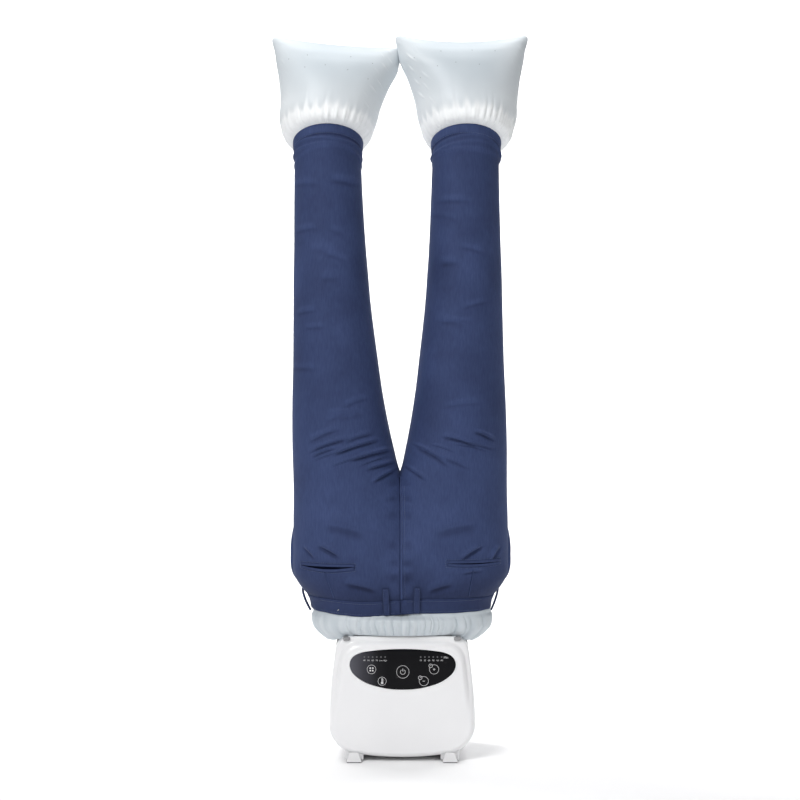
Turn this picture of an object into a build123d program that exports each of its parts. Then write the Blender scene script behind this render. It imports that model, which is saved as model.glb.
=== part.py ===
from build123d import *
import math
import os

# Trouser press with an inflatable bag. Millimetres, +Z up, origin on the floor at the
# centre of the base, -Y is the side with the control panel.

WALL = 2.6
PARTING_Y = -30.0
FRONT_Y = -91.0
PAD_Y = -95.0
REAR_Y = 93.0
EDGE_ROUND = 22.0
SEAL_WIDTH = 2.4

BOTTOM_Z = 9.0
LOW_X = 149.0
LOW_Z = 40.0
LOW_ROUND = 56.0
SIDE_X = 146.5
SIDE_Z = 135.0
HIGH_X = 133.0
HIGH_Z = 252.0
HIGH_ROUND = 24.0
TOP_Z = 258.0

RAIL_X = 98.0
RAIL_HALF_WIDTH = 19.0
RAIL_BOTTOM = 4.0
RAIL_TOP = 30.0
RAIL_HALF_LENGTH = 86.0
TONGUE_HALF_WIDTH = 14.5
TONGUE_BOTTOM = 7.0
TONGUE_TOP = 17.0
TONGUE_INNER_Y = 12.0
TOE_BACK_Y = 87.5
TOE_TIP_Y = 100.0
TOE_TOP = 19.5
SLIDE_GAP = 0.1
PAD_HEIGHT = 2.0

CHASSIS_TOP = 33.0
DUCT_INNER = 57.0
DUCT_OUTER = 60.0
SHROUD_BOTTOM = 96.0
DUCT_BOTTOM = 150.0
DUCT_TOP = 238.0
SHAFT_RADIUS = 3.0
RUNNING_GAP = 0.05
COLLAR_TOP = 266.0
COLLAR_OUTER = 62.0
HOLE_RADIUS = 64.0

RING_INNER = 62.3
RING_OUTER = 74.0
RING_BOTTOM = 262.0
RING_TOP = 274.0

ROD_FOOT_X = 44.0
ROD_FOOT_Z = 272.0
ROD_HEAD_X = 140.0
ROD_HEAD_Z = 1440.0
TUBE_OUTER = 9.0
TUBE_INNER = 7.0
TUBE_LENGTH = 600.0
ROD_RADIUS = 6.95
ROD_OVERLAP = 60.0
LOCK_HEIGHT = 34.0
TIP_RADIUS = 20.0

CLOTH = 1.5
BAND_STEP = 0.9
LOOP_STEP = 4.0
WELT_STEP = 2.0
AIR_GAP = 3.0
BAG_WALL = 1.2
WAIST_Z = 303.0
WAIST_SEAM_Z = 331.0
CUFF_Z = 1274.0
CUFF_SLOPE = 0.42
HEM_Z = 263.0
FLARE_Z = 271.0
FORK_Z = 596.0
EAR_Z = 1499.0
EAR_WIDTH = 9.0
SEAM_Z = 1477.0
PILLOW_X = 134.5
PILLOW_HALF_WIDTH = 131.0

# Centre offset, height, half width and half depth along one trouser leg.
LEG = [
    (62, 280, 126, 84),
    (62, 303, 128, 86),
    (66, 331, 138, 90),
    (76, 365, 146, 96),
    (82, 420, 143, 99),
    (90, 480, 134, 98),
    (100, 540, 122, 97),
    (112, 590, 111, 96),
    (117, 640, 104, 94.5),
    (124, 720, 95, 91),
    (131, 830, 87, 86),
    (138, 950, 79.5, 79.5),
    (142, 1080, 74.5, 74.5),
    (144, 1200, 73, 73),
    (144.5, 1308, 74, 74),
]
# The same for the end of the bag above the cuff.
PILLOW = [
    (143, 1322, 88, 86),
    (140, 1348, 102, 86),
    (137, 1385, 114, 72),
    (135.5, 1430, 124, 46),
    (134.5, 1468, 130, 15),
    (PILLOW_X, EAR_Z, PILLOW_HALF_WIDTH + 3, 7),
]
# The same for the gathered collar of the bag below the waist, from its underside up.
COLLAR = [
    (52, FLARE_Z, 122, 84),
    (60, 276, 127, 92),
    (62, 285, 130, 96),
    (62, 295, 129, 92),
]

os.makedirs("parts", exist_ok=True)


def save(part, name):
    part.label = name
    export_step(part, "parts/" + name + ".step")


def block(x0, x1, y0, y1, z0, z1, mode=Mode.ADD):
    with Locations(((x0 + x1) / 2, (y0 + y1) / 2, (z0 + z1) / 2)):
        Box(abs(x1 - x0), abs(y1 - y0), abs(z1 - z0), mode=mode)


def drum(x, y, z0, z1, radius, mode=Mode.ADD):
    with Locations((x, y, (z0 + z1) / 2)):
        Cylinder(radius, z1 - z0, mode=mode)


def housing_face(inset=0.0):
    """Front outline of the housing, drawn with X across and Z up."""
    low = (LOW_X - inset, LOW_Z + inset)
    side = (SIDE_X - inset, SIDE_Z)
    high = (HIGH_X - inset, HIGH_Z - inset)
    with BuildSketch() as face:
        with BuildLine():
            ThreePointArc((-low[0], low[1]), (0, BOTTOM_Z + inset), low)
            ThreePointArc(low, side, high)
            ThreePointArc(high, (0, TOP_Z - inset), (-high[0], high[1]))
            ThreePointArc((-high[0], high[1]), (-side[0], side[1]), (-low[0], low[1]))
        make_face()
        fillet(face.vertices().sort_by(Axis.Y)[0:2], radius=LOW_ROUND - 0.8 * inset)
        fillet(face.vertices().sort_by(Axis.Y)[-2:], radius=HIGH_ROUND - 0.2 * inset)
    return face.sketch


def panel_face(inset=0.0):
    """Outline of the touch panel: a flat-topped lens."""
    top_x = 94 - inset
    top_z = 218.5 - inset
    end_x = 108 - inset
    low_x = 90 - inset
    low_z = 177 + inset / 2
    with BuildSketch() as face:
        with BuildLine():
            ThreePointArc((-top_x, top_z), (0, 229.5 - inset), (top_x, top_z))
            ThreePointArc((top_x, top_z), (end_x, 198), (low_x, low_z))
            ThreePointArc((low_x, low_z), (0, 149 + inset), (-low_x, low_z))
            ThreePointArc((-low_x, low_z), (-end_x, 198), (-top_x, top_z))
        make_face()
    return face.sketch


def leg_tube(stations, grow):
    with BuildPart() as tube:
        for centre_x, height, half_width, half_depth in stations:
            with BuildSketch(Plane.XY.offset(height)):
                with Locations((centre_x, 0)):
                    Ellipse(half_width + grow, half_depth + grow)
        loft(ruled=True)
    return tube.part


def leg_pair(stations, grow):
    tube = leg_tube(stations, grow)
    with BuildPart() as pair:
        add(tube)
        mirror(about=Plane.YZ)
    return pair.part


# ---------------------------------------------------------------- base housing
with BuildPart() as housing_front:
    with BuildSketch(Plane.XZ.offset(-PARTING_Y)):
        add(housing_face())
    extrude(amount=PARTING_Y - FRONT_Y)
    fillet(housing_front.faces().sort_by(Axis.Y)[0].edges(), radius=EDGE_ROUND)
    offset(
        amount=-WALL,
        openings=housing_front.faces().sort_by(Axis.Y)[-1],
        kind=Kind.INTERSECTION,
    )

with BuildPart() as front_cover:
    add(housing_front.part)
    with BuildSketch(Plane.XZ.offset(-FRONT_Y - WALL)) as pad:
        add(housing_face(26.0))
    extrude(amount=FRONT_Y - PAD_Y + WALL)
    fillet(front_cover.faces().sort_by(Axis.Y)[0].edges(), radius=3.0)
    with BuildSketch(Plane.XZ.offset(-PAD_Y - 2.2)):
        add(panel_face())
    extrude(amount=10.0, mode=Mode.SUBTRACT)
    with BuildSketch(Plane.XZ.offset(-FRONT_Y - 3 * WALL)):
        add(panel_face(9.0))
    extrude(amount=20.0, mode=Mode.SUBTRACT)
    drum(0, 0, 200.0, 300.0, HOLE_RADIUS, Mode.SUBTRACT)
    for side in (-1, 1):
        block(
            side * (RAIL_X - RAIL_HALF_WIDTH),
            side * (RAIL_X + RAIL_HALF_WIDTH),
            -RAIL_HALF_LENGTH,
            0,
            0,
            RAIL_TOP,
            Mode.SUBTRACT,
        )
        block(side * 108.0, side * 128.0, -40.0, 0.0, 236.0, 270.0, Mode.SUBTRACT)
save(front_cover.part, "front_cover")

with BuildPart() as rear_shell:
    with BuildSketch(Plane.XZ.offset(-PARTING_Y - SEAL_WIDTH)):
        add(housing_face())
    extrude(amount=-(REAR_Y - PARTING_Y - SEAL_WIDTH))
    fillet(rear_shell.faces().sort_by(Axis.Y)[-1].edges(), radius=EDGE_ROUND)
    offset(
        amount=-WALL,
        openings=rear_shell.faces().sort_by(Axis.Y)[0],
        kind=Kind.INTERSECTION,
    )
    drum(0, 0, 200.0, 300.0, HOLE_RADIUS, Mode.SUBTRACT)
    for side in (-1, 1):
        block(
            side * (RAIL_X - RAIL_HALF_WIDTH),
            side * (RAIL_X + RAIL_HALF_WIDTH),
            -40,
            RAIL_HALF_LENGTH,
            0,
            RAIL_TOP,
            Mode.SUBTRACT,
        )
        block(side * 108.0, side * 128.0, -40.0, 0.0, 236.0, 270.0, Mode.SUBTRACT)
    block(-66, 66, 85, 100, 60, 150, Mode.SUBTRACT)
    with Locations(Location((104, 85, 52), (90, 0, 0))):
        Cylinder(8.0, 40.0, mode=Mode.SUBTRACT)
    for x in (-112, 112):
        for z in (66, 214):
            with Locations(Location((x, 92, z), (90, 0, 0))):
                Cylinder(3.2, 12.0, mode=Mode.SUBTRACT)
save(rear_shell.part, "rear_shell")

with BuildPart() as parting_seal:
    with BuildSketch(Plane.XZ.offset(-PARTING_Y - SEAL_WIDTH)):
        add(housing_face(-0.5))
        add(housing_face(WALL), mode=Mode.SUBTRACT)
    extrude(amount=SEAL_WIDTH)
    block(-58, 58, -40, 0, 240.0, 300.0, Mode.SUBTRACT)
    for side in (-1, 1):
        block(side * 78.0, side * 118.0, -40, 0, 0, RAIL_TOP + 1, Mode.SUBTRACT)
        block(side * 107.0, side * 129.0, -40.0, 0.0, 236.0, 270.0, Mode.SUBTRACT)
save(parting_seal.part, "parting_seal")

with BuildPart() as rear_grille:
    block(-65.5, 65.5, REAR_Y - WALL, REAR_Y, 60.5, 149.5)
    for row in range(9):
        z = 67.0 + row * 9.0
        block(-58, -3, 85, 100, z, z + 5, Mode.SUBTRACT)
        block(3, 58, 85, 100, z, z + 5, Mode.SUBTRACT)
save(rear_grille.part, "rear_grille")

with BuildPart() as dust_filter:
    block(-62, 62, REAR_Y - WALL - 5, REAR_Y - WALL, 62.5, 147.5)
save(dust_filter.part, "dust_filter")

with BuildPart() as filter_frame:
    block(-72, 72, REAR_Y - WALL - 5, REAR_Y - WALL, 54, 156)
    block(-62, 62, 80, 100, 62.5, 147.5, Mode.SUBTRACT)
save(filter_frame.part, "filter_frame")

with BuildPart() as control_panel:
    with BuildSketch(Plane.XZ.offset(-PAD_Y - 2.2)):
        add(panel_face(0.25))
    extrude(amount=2.4)
save(control_panel.part, "control_panel")

with BuildPart() as cord_gland:
    with Locations(Location((104, 90, 52), (90, 0, 0))):
        Cylinder(7.9, 16.0)
        Cylinder(4.0, 30.0, mode=Mode.SUBTRACT)
    with Locations(Location((104, REAR_Y + 1.5, 52), (90, 0, 0))):
        Cylinder(11.0, 3.0)
        Cylinder(4.0, 6.0, mode=Mode.SUBTRACT)
save(cord_gland.part, "cord_gland")

with BuildPart() as cover_screws:
    for x in (-112, 112):
        for z in (66, 214):
            with Locations(Location((x, 82.0, z), (90, 0, 0))):
                Cylinder(1.5, 18.0)
            with Locations(Location((x, 91.5, z), (90, 0, 0))):
                Cylinder(3.0, 3.0)
save(cover_screws.part, "cover_screws")

# ---------------------------------------------------------------- rails and feet
with BuildPart() as foot_rails:
    for side in (-1, 1):
        block(
            side * (RAIL_X - RAIL_HALF_WIDTH),
            side * (RAIL_X + RAIL_HALF_WIDTH),
            -RAIL_HALF_LENGTH,
            RAIL_HALF_LENGTH,
            RAIL_BOTTOM,
            RAIL_TOP,
        )
    for side in (-1, 1):
        for end in (-1, 1):
            block(
                side * (RAIL_X - TONGUE_HALF_WIDTH - SLIDE_GAP),
                side * (RAIL_X + TONGUE_HALF_WIDTH + SLIDE_GAP),
                end * 10.0,
                end * 90.0,
                TONGUE_BOTTOM - SLIDE_GAP,
                TONGUE_TOP + SLIDE_GAP,
                Mode.SUBTRACT,
            )
save(foot_rails.part, "foot_rails")

for end, end_name in ((-1, "front"), (1, "rear")):
    for side, side_name in ((-1, "left"), (1, "right")):
        with BuildPart() as foot:
            block(
                side * RAIL_X - TONGUE_HALF_WIDTH,
                side * RAIL_X + TONGUE_HALF_WIDTH,
                end * TONGUE_INNER_Y,
                end * TOE_BACK_Y,
                TONGUE_BOTTOM,
                TONGUE_TOP,
            )
            with BuildSketch(Plane.XY.offset(PAD_HEIGHT)):
                with Locations((side * RAIL_X, end * (TOE_BACK_Y + TOE_TIP_Y) / 2)):
                    Rectangle(31.0, TOE_TIP_Y - TOE_BACK_Y)
            with BuildSketch(Plane.XY.offset(TOE_TOP)):
                with Locations((side * RAIL_X, end * (TOE_BACK_Y + 3.0))):
                    Rectangle(17.0, 6.0)
            loft()
        save(foot.part, "foot_" + end_name + "_" + side_name)


for end, end_name in ((-1, "front"), (1, "rear")):
    for side, side_name in ((-1, "left"), (1, "right")):
        with BuildPart() as foot_pad:
            block(
                side * RAIL_X - 14.0,
                side * RAIL_X + 14.0,
                end * (TOE_BACK_Y + 1.5),
                end * (TOE_TIP_Y - 1.0),
                0,
                PAD_HEIGHT,
            )
        save(foot_pad.part, "foot_pad_" + end_name + "_" + side_name)

# ---------------------------------------------------------------- inside the base
with BuildPart() as chassis_plate:
    block(-106, 106, -68, 72, RAIL_TOP, CHASSIS_TOP)
save(chassis_plate.part, "chassis_plate")

with BuildPart() as motor_bracket:
    drum(0, 0, CHASSIS_TOP, CHASSIS_TOP + 4, 46)
    drum(0, 0, CHASSIS_TOP + 4, CHASSIS_TOP + 22, 34)
    drum(0, 0, CHASSIS_TOP + 4, CHASSIS_TOP + 23, 30.2, Mode.SUBTRACT)
save(motor_bracket.part, "motor_bracket")

with BuildPart() as fan_motor:
    drum(0, 0, CHASSIS_TOP + 4, 90, 30)
    drum(0, 0, 90, 94, 12)
    drum(0, 0, 94, 130, SHAFT_RADIUS)
save(fan_motor.part, "fan_motor")

with BuildPart() as fan_impeller:
    drum(0, 0, 102, 126, 16)
    with Locations((0, 0, 114)):
        with PolarLocations(34.5, 7):
            Box(39, 2, 20, rotation=(35, 0, 0))
    drum(0, 0, 100, 140, SHAFT_RADIUS + RUNNING_GAP, Mode.SUBTRACT)
save(fan_impeller.part, "fan_impeller")

with BuildPart() as fan_shroud:
    drum(0, 0, SHROUD_BOTTOM, DUCT_BOTTOM, DUCT_OUTER)
    drum(0, 0, SHROUD_BOTTOM, DUCT_BOTTOM, DUCT_INNER, Mode.SUBTRACT)
    with Locations((0, 0, (CHASSIS_TOP + SHROUD_BOTTOM + 4) / 2)):
        with PolarLocations(58.5, 4, start_angle=45):
            Box(3, 12, SHROUD_BOTTOM + 4 - CHASSIS_TOP)
save(fan_shroud.part, "fan_shroud")

with BuildPart() as air_duct:
    drum(0, 0, DUCT_BOTTOM, DUCT_TOP, DUCT_OUTER)
    drum(0, 0, DUCT_BOTTOM, DUCT_TOP, DUCT_INNER, Mode.SUBTRACT)
save(air_duct.part, "air_duct")

with BuildPart() as heater_frame:
    drum(0, 0, 165, 196, DUCT_INNER - 0.1)
    drum(0, 0, 165, 196, 53.5, Mode.SUBTRACT)
save(heater_frame.part, "heater_frame")

with BuildPart() as heater_bars:
    for y, half_length in ((-26, 43.5), (0, 52.5), (26, 43.5)):
        block(-half_length, half_length, y - 4, y + 4, 168, 192)
save(heater_bars.part, "heater_bars")

with BuildPart() as heater_fins:
    for row in (-13, 13):
        with Locations((0, row, 180)):
            with GridLocations(8.0, 1.0, 10, 1):
                Box(0.8, 17.6, 20)
save(heater_fins.part, "heater_fins")

with BuildPart() as thermal_cutout:
    drum(0, 0, 192, 196, 8)
    drum(0, 0, 196, 199, 6)
save(thermal_cutout.part, "thermal_cutout")

with BuildPart() as outlet_guard:
    for radius in (56.8, 38, 20):
        with BuildSketch(Plane.XY.offset(232)):
            Circle(radius)
            Circle(radius - 2.4, mode=Mode.SUBTRACT)
        extrude(amount=3)
    for turn in (0, 45, 90, 135):
        with Locations((0, 0, 233.5)):
            Box(110, 2.4, 3, rotation=(0, 0, turn))
save(outlet_guard.part, "outlet_guard")

with BuildPart() as outlet_collar:
    drum(0, 0, DUCT_TOP, COLLAR_TOP, COLLAR_OUTER)
    drum(0, 0, TOP_Z, RING_BOTTOM, 80)
    drum(0, 0, DUCT_TOP, COLLAR_TOP, DUCT_INNER, Mode.SUBTRACT)
save(outlet_collar.part, "outlet_collar")

with BuildPart() as control_board:
    block(-86, 86, -84.0, -82.4, 176, 222)
save(control_board.part, "control_board")

with BuildPart() as touch_springs:
    for x, z in ((0, 188), (-64, 193), (-42, 184), (64, 193), (42, 184)):
        with Locations(Location((x, -88.0, z), (90, 0, 0))):
            Cylinder(4.0, 8.0)
save(touch_springs.part, "touch_springs")

with BuildPart() as indicator_leds:
    for side in (-1, 1):
        for step in range(6):
            x = side * 56.0 + (step - 2.5) * 8.7
            block(x - 1.5, x + 1.5, -87.0, -84.0, 213.0, 216.0)
save(indicator_leds.part, "indicator_leds")

with BuildPart() as board_posts:
    for x in (-30, 30):
        for z in (180, 218):
            with Locations(Location((x, -86.2, z), (90, 0, 0))):
                Cylinder(2.5, 4.4)
save(board_posts.part, "board_posts")

with BuildPart() as power_board:
    block(104, 105.6, -50, 50, CHASSIS_TOP, 130)
save(power_board.part, "power_board")

with BuildPart() as power_parts:
    block(84, 104, -44, -14, 44, 72)
    block(90, 104, 2, 22, 48, 62)
    for y in (-30, -8, 14, 36):
        with Locations(Location((95, y, 100), (0, 90, 0))):
            Cylinder(7.0, 18.0)
save(power_parts.part, "power_parts")

for side, side_name in ((-1, "left"), (1, "right")):
    with BuildPart() as catch:
        block(side * 113, side * 125, -36, -4, 236, 259)
        fillet(catch.edges().filter_by(Axis.Y).sort_by(Axis.Z)[-2:], radius=3.0)
        block(side * 102, side * 126, -36, -4, 232, 237)
    save(catch.part, "catch_" + side_name)

# ---------------------------------------------------------------- frame of the bag
with BuildPart() as bag_ring:
    drum(0, 0, RING_BOTTOM, RING_TOP, RING_OUTER)
    drum(0, 0, RING_BOTTOM, RING_TOP, RING_INNER, Mode.SUBTRACT)
save(bag_ring.part, "bag_ring")

rod_length = math.hypot(ROD_HEAD_X - ROD_FOOT_X, ROD_HEAD_Z - ROD_FOOT_Z)
rod_start = TUBE_LENGTH - ROD_OVERLAP


def rod_plane(side, distance):
    lean_x = side * (ROD_HEAD_X - ROD_FOOT_X)
    rise = ROD_HEAD_Z - ROD_FOOT_Z
    share = distance / rod_length
    origin = (side * ROD_FOOT_X + lean_x * share, 0, ROD_FOOT_Z + rise * share)
    return Plane(origin=origin, x_dir=(0, 1, 0), z_dir=(lean_x, 0, rise))


def sleeve(side, start, length, outer, inner):
    with BuildPart() as piece:
        with BuildSketch(rod_plane(side, start)):
            Circle(outer)
            if inner:
                Circle(inner, mode=Mode.SUBTRACT)
        extrude(amount=length)
    return piece.part


with BuildPart() as rod_socket:
    block(-61.5, 61.5, -8, 8, 267, 273)
    for side in (-1, 1):
        add(sleeve(side, 0, 26, 12, 0))
    for side in (-1, 1):
        add(sleeve(side, 0, 40, TUBE_OUTER + 0.02, 0), mode=Mode.SUBTRACT)
save(rod_socket.part, "rod_socket")

for side, side_name in ((-1, "left"), (1, "right")):
    tube = sleeve(side, 0, TUBE_LENGTH, TUBE_OUTER, TUBE_INNER)
    save(tube, "rod_tube_" + side_name)
    lock = sleeve(side, TUBE_LENGTH, LOCK_HEIGHT, 14, TUBE_INNER)
    save(lock, "rod_lock_" + side_name)
    rod = sleeve(side, rod_start, rod_length - rod_start, ROD_RADIUS, 0)
    save(rod, "rod_" + side_name)
    with BuildPart() as tip:
        with Locations((side * ROD_HEAD_X, 0, ROD_HEAD_Z)):
            Sphere(TIP_RADIUS)
        add(rod, mode=Mode.SUBTRACT)
    save(tip.part, "rod_tip_" + side_name)

# ---------------------------------------------------------------- bag
def save_slices(whole, name):
    """Seat up to the fork, and each leg above it."""
    with BuildPart() as seat:
        add(whole)
        split(bisect_by=Plane(origin=(0, 0, FORK_Z)), keep=Keep.BOTTOM)
    save(seat.part, name + "_seat")
    for side, side_name in ((-1, "left"), (1, "right")):
        with BuildPart() as leg:
            add(whole)
            split(bisect_by=Plane(origin=(0, 0, FORK_Z)), keep=Keep.TOP)
            block(0, side * 300, -150, 150, FORK_Z - 50, EAR_Z + 50, Mode.INTERSECT)
        save(leg.part, name + "_leg_" + side_name)


seam_half = PILLOW_HALF_WIDTH - EAR_WIDTH
base_x, base_z, base_width, base_depth = COLLAR[0]
lining_foot = [(base_x, base_z + BAG_WALL, base_width + 2, base_depth + 3)]
bag_outer = leg_pair(COLLAR + LEG[1:] + PILLOW, -AIR_GAP)
bag_inner = leg_pair(
    lining_foot + COLLAR[1:] + LEG[1:] + PILLOW[:-1], -AIR_GAP - BAG_WALL
)
with BuildPart() as trouser_bag:
    add(bag_outer)
    drum(0, 0, HEM_Z, FLARE_Z + 0.6, RING_OUTER + 0.1 + BAG_WALL)
    add(bag_inner, mode=Mode.SUBTRACT)
    drum(0, 0, HEM_Z - 1, FLARE_Z + 8, RING_OUTER + 0.1, Mode.SUBTRACT)
    with BuildSketch(Plane.XZ):
        for side in (-1, 1):
            left_x = side * PILLOW_X - seam_half
            right_x = side * PILLOW_X + seam_half
            with BuildLine():
                ThreePointArc(
                    (left_x, EAR_Z), (side * PILLOW_X, SEAM_Z), (right_x, EAR_Z)
                )
                Polyline(
                    (right_x, EAR_Z),
                    (right_x, EAR_Z + 8),
                    (left_x, EAR_Z + 8),
                    (left_x, EAR_Z),
                )
            make_face()
    extrude(amount=60.0, both=True, mode=Mode.SUBTRACT)
save_slices(trouser_bag.part, "bag")

with BuildPart() as drawband:
    drum(0, 0, HEM_Z + 1, HEM_Z + 6, RING_OUTER + BAG_WALL + 3.2)
    drum(0, 0, HEM_Z, HEM_Z + 8, RING_OUTER + BAG_WALL + 0.2, Mode.SUBTRACT)
save(drawband.part, "drawband")

# ---------------------------------------------------------------- trousers
cloth_outer = leg_pair(LEG, 0.0)
cloth_inner = leg_pair(LEG, -CLOTH)
band_outer = leg_pair(LEG[:4], BAND_STEP)
loop_outer = leg_pair(LEG[:4], LOOP_STEP)
welt_outer = leg_pair(LEG[2:6], WELT_STEP)

with BuildPart() as trousers_body:
    add(cloth_outer)
    add(cloth_inner, mode=Mode.SUBTRACT)
    split(bisect_by=Plane(origin=(0, 0, WAIST_SEAM_Z)), keep=Keep.TOP)
    cuff = Plane(origin=(0, 0, CUFF_Z), z_dir=(0, CUFF_SLOPE, 1))
    split(bisect_by=cuff, keep=Keep.BOTTOM)
save_slices(trousers_body.part, "trousers")

with BuildPart() as waistband:
    add(band_outer)
    add(cloth_inner, mode=Mode.SUBTRACT)
    block(-300, 300, -150, 150, WAIST_Z, WAIST_SEAM_Z, Mode.INTERSECT)
save(waistband.part, "waistband")

with BuildPart() as belt_loops:
    for x in (-32, 32):
        block(x - 6, x + 6, -120, -40, 304, 345)
    for x in (-92, 92):
        block(x - 6, x + 6, 40, 120, 304, 345)
    for side in (-1, 1):
        block(side * 150, side * 240, -6, 6, 304, 345)
    add(loop_outer, mode=Mode.INTERSECT)
    add(band_outer, mode=Mode.SUBTRACT)
save(belt_loops.part, "belt_loops")

with BuildPart() as pocket_welts:
    for side in (-1, 1):
        block(side * 96, side * 205, -120, -30, 377, 391)
    add(welt_outer, mode=Mode.INTERSECT)
    add(cloth_outer, mode=Mode.SUBTRACT)
save(pocket_welts.part, "pocket_welts")

with BuildPart() as waist_button:
    with Locations(Location((0, 78, 317), (90, 0, 0))):
        Cylinder(8.0, 8.0)
    add(band_outer, mode=Mode.SUBTRACT)
save(waist_button.part, "waist_button")
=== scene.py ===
import math

import bmesh
import bpy
import mathutils
import numpy as np
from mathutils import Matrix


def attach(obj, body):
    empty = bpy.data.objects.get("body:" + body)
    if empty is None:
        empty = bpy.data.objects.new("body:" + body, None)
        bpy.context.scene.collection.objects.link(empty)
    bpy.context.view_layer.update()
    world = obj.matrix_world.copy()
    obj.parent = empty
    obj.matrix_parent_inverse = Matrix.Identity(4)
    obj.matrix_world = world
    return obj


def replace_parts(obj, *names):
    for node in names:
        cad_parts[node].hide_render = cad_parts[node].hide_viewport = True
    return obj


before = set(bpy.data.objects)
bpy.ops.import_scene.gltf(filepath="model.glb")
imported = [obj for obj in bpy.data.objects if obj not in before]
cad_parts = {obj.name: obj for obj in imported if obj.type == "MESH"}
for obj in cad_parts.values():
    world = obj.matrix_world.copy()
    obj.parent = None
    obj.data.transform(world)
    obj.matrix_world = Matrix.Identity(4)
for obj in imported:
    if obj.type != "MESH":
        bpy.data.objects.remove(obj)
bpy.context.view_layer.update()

# Metres, in the CAD's frame: origin on the floor, +Z up, the user stands at -Y.
ROOT = "base"
BAG = "bag_module"

# Centre offset, height, half width and half depth along one trouser leg, fitted to the photo near the CAD's.
LEG = np.array(
    [
        (0.061, 0.280, 0.123, 0.0815),
        (0.062, 0.303, 0.1245, 0.0835),
        (0.065, 0.329, 0.1285, 0.0880),
        (0.068, 0.341, 0.1360, 0.092),
        (0.076, 0.365, 0.1440, 0.096),
        (0.082, 0.420, 0.1430, 0.1005),
        (0.090, 0.480, 0.1350, 0.1000),
        (0.101, 0.540, 0.1230, 0.097),
        (0.1125, 0.590, 0.1120, 0.096),
        (0.119, 0.640, 0.1060, 0.0945),
        (0.1265, 0.720, 0.0975, 0.091),
        (0.1325, 0.830, 0.0885, 0.086),
        (0.1385, 0.950, 0.0805, 0.0800),
        (0.142, 1.080, 0.0745, 0.0745),
        (0.144, 1.200, 0.0708, 0.0715),
        (0.1445, 1.240, 0.0702, 0.0715),
        (0.1445, 1.274, 0.0730, 0.0730),
        (0.1445, 1.308, 0.0735, 0.0735),
    ]
)
# The waist's lower edge, its seam, and the cuffs, which slope up towards the user.
WAIST_Z = 0.303
WAIST_SEAM_Z = 0.331
CUFF_Z = 1.274
CUFF_SLOPE = 0.42
# How far the bag stays inside the cloth, at the cuffs and further in.
AIR_GAP = 0.003
DEEP_GAP = 0.0085
# Height, and the garment's sideways drift there.
LEAN = np.array(
    [
        (0.25, -0.0010),
        (0.33, -0.0025),
        (0.50, -0.0030),
        (0.75, -0.0065),
        (1.00, -0.0090),
        (1.30, -0.0098),
        (1.38, -0.0068),
        (1.50, -0.0055),
    ]
)


# ------------------------------------------------------------------ small tools
def ease(x):
    """A smooth step from 0 to 1."""
    x = np.clip(x, 0.0, 1.0)
    return x * x * (3.0 - 2.0 * x)


def ramp(x, start, end):
    return ease((np.asarray(x, float) - start) / (end - start))


def bump(x, centre, reach):
    """1 at the centre, falling smoothly to 0 at reach on either side."""
    return ease(1.0 - np.abs(np.asarray(x, float) - centre) / reach)


def peak(x, width):
    """A bell curve, 1 at 0."""
    return np.exp(-((x / width) ** 2))


def follow(knots, values, at):
    """A smooth curve through values at the knots."""
    knots = np.asarray(knots, float)
    values = np.asarray(values, float)
    slopes = np.gradient(values, knots)
    at = np.clip(np.asarray(at, float), knots[0], knots[-1])
    i = np.clip(np.searchsorted(knots, at) - 1, 0, len(knots) - 2)
    step = knots[i + 1] - knots[i]
    t = (at - knots[i]) / step
    return (
        (2 * t**3 - 3 * t**2 + 1) * values[i]
        + (t**3 - 2 * t**2 + t) * step * slopes[i]
        + (3 * t**2 - 2 * t**3) * values[i + 1]
        + (t**3 - t**2) * step * slopes[i + 1]
    )


def lean_x(z):
    return follow(LEAN[:, 0], LEAN[:, 1], z)


def sines(at, speeds, phases, strengths):
    """A sum of sines, between about -1 and 1."""
    total = sum(s * np.sin(n * at + p) for n, p, s in zip(speeds, phases, strengths))
    return total / strengths.sum()


def wander(at, seed, count, low, high):
    """A smooth random line from count sines, with speeds from low to high."""
    draw = np.random.default_rng(seed)
    speeds = draw.uniform(low, high, count)
    phases = draw.uniform(0, 2 * math.pi, count)
    return sines(at, speeds, phases, draw.uniform(0.4, 1.0, count))


def round_angles(count):
    return np.arange(count) * 2 * math.pi / count


def points_at(x, y, z):
    """Points from their coordinates; a single number stands for all of them."""
    return np.stack(np.broadcast_arrays(x, y, z), axis=-1)


def directions(path):
    """Unit vectors along a run of points."""
    ahead = np.gradient(path, axis=0)
    return ahead / np.linalg.norm(ahead, axis=1)[:, None]


def linked(name, data):
    made = bpy.data.objects.new(name, data)
    bpy.context.scene.collection.objects.link(made)
    return made


def mesh_object(name, points, faces, material, body, slot, smooth=True):
    """A piece that rides on a body of the press."""
    mesh = bpy.data.meshes.new(name)
    mesh.from_pydata([tuple(p) for p in np.asarray(points, float)], [], faces)
    mesh.validate()
    mesh.update()
    if smooth:
        mesh.shade_smooth()
    piece = linked(name, mesh)
    mesh.materials.append(material)
    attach(piece, body)
    return piece


def grid_faces(rows, columns, closed=True, flip=False):
    """Quads between the rows of a grid of points; closed joins each row's end to its start."""
    faces = []
    for r in range(rows - 1):
        for c in range(columns if closed else columns - 1):
            here, there = r * columns + c, r * columns + (c + 1) % columns
            quad = (here, there, there + columns, here + columns)
            faces.append(quad[::-1] if flip else quad)
    return faces


def capped_faces(rows, columns, flip=False):
    """Faces of a stack of loops that ends in one point."""
    faces = grid_faces(rows, columns, flip=flip)
    last, tip = (rows - 1) * columns, rows * columns
    for c in range(columns):
        edge = (last + c, last + (c + 1) % columns)
        faces.append((*(edge[::-1] if flip else edge), tip))
    return faces


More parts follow.
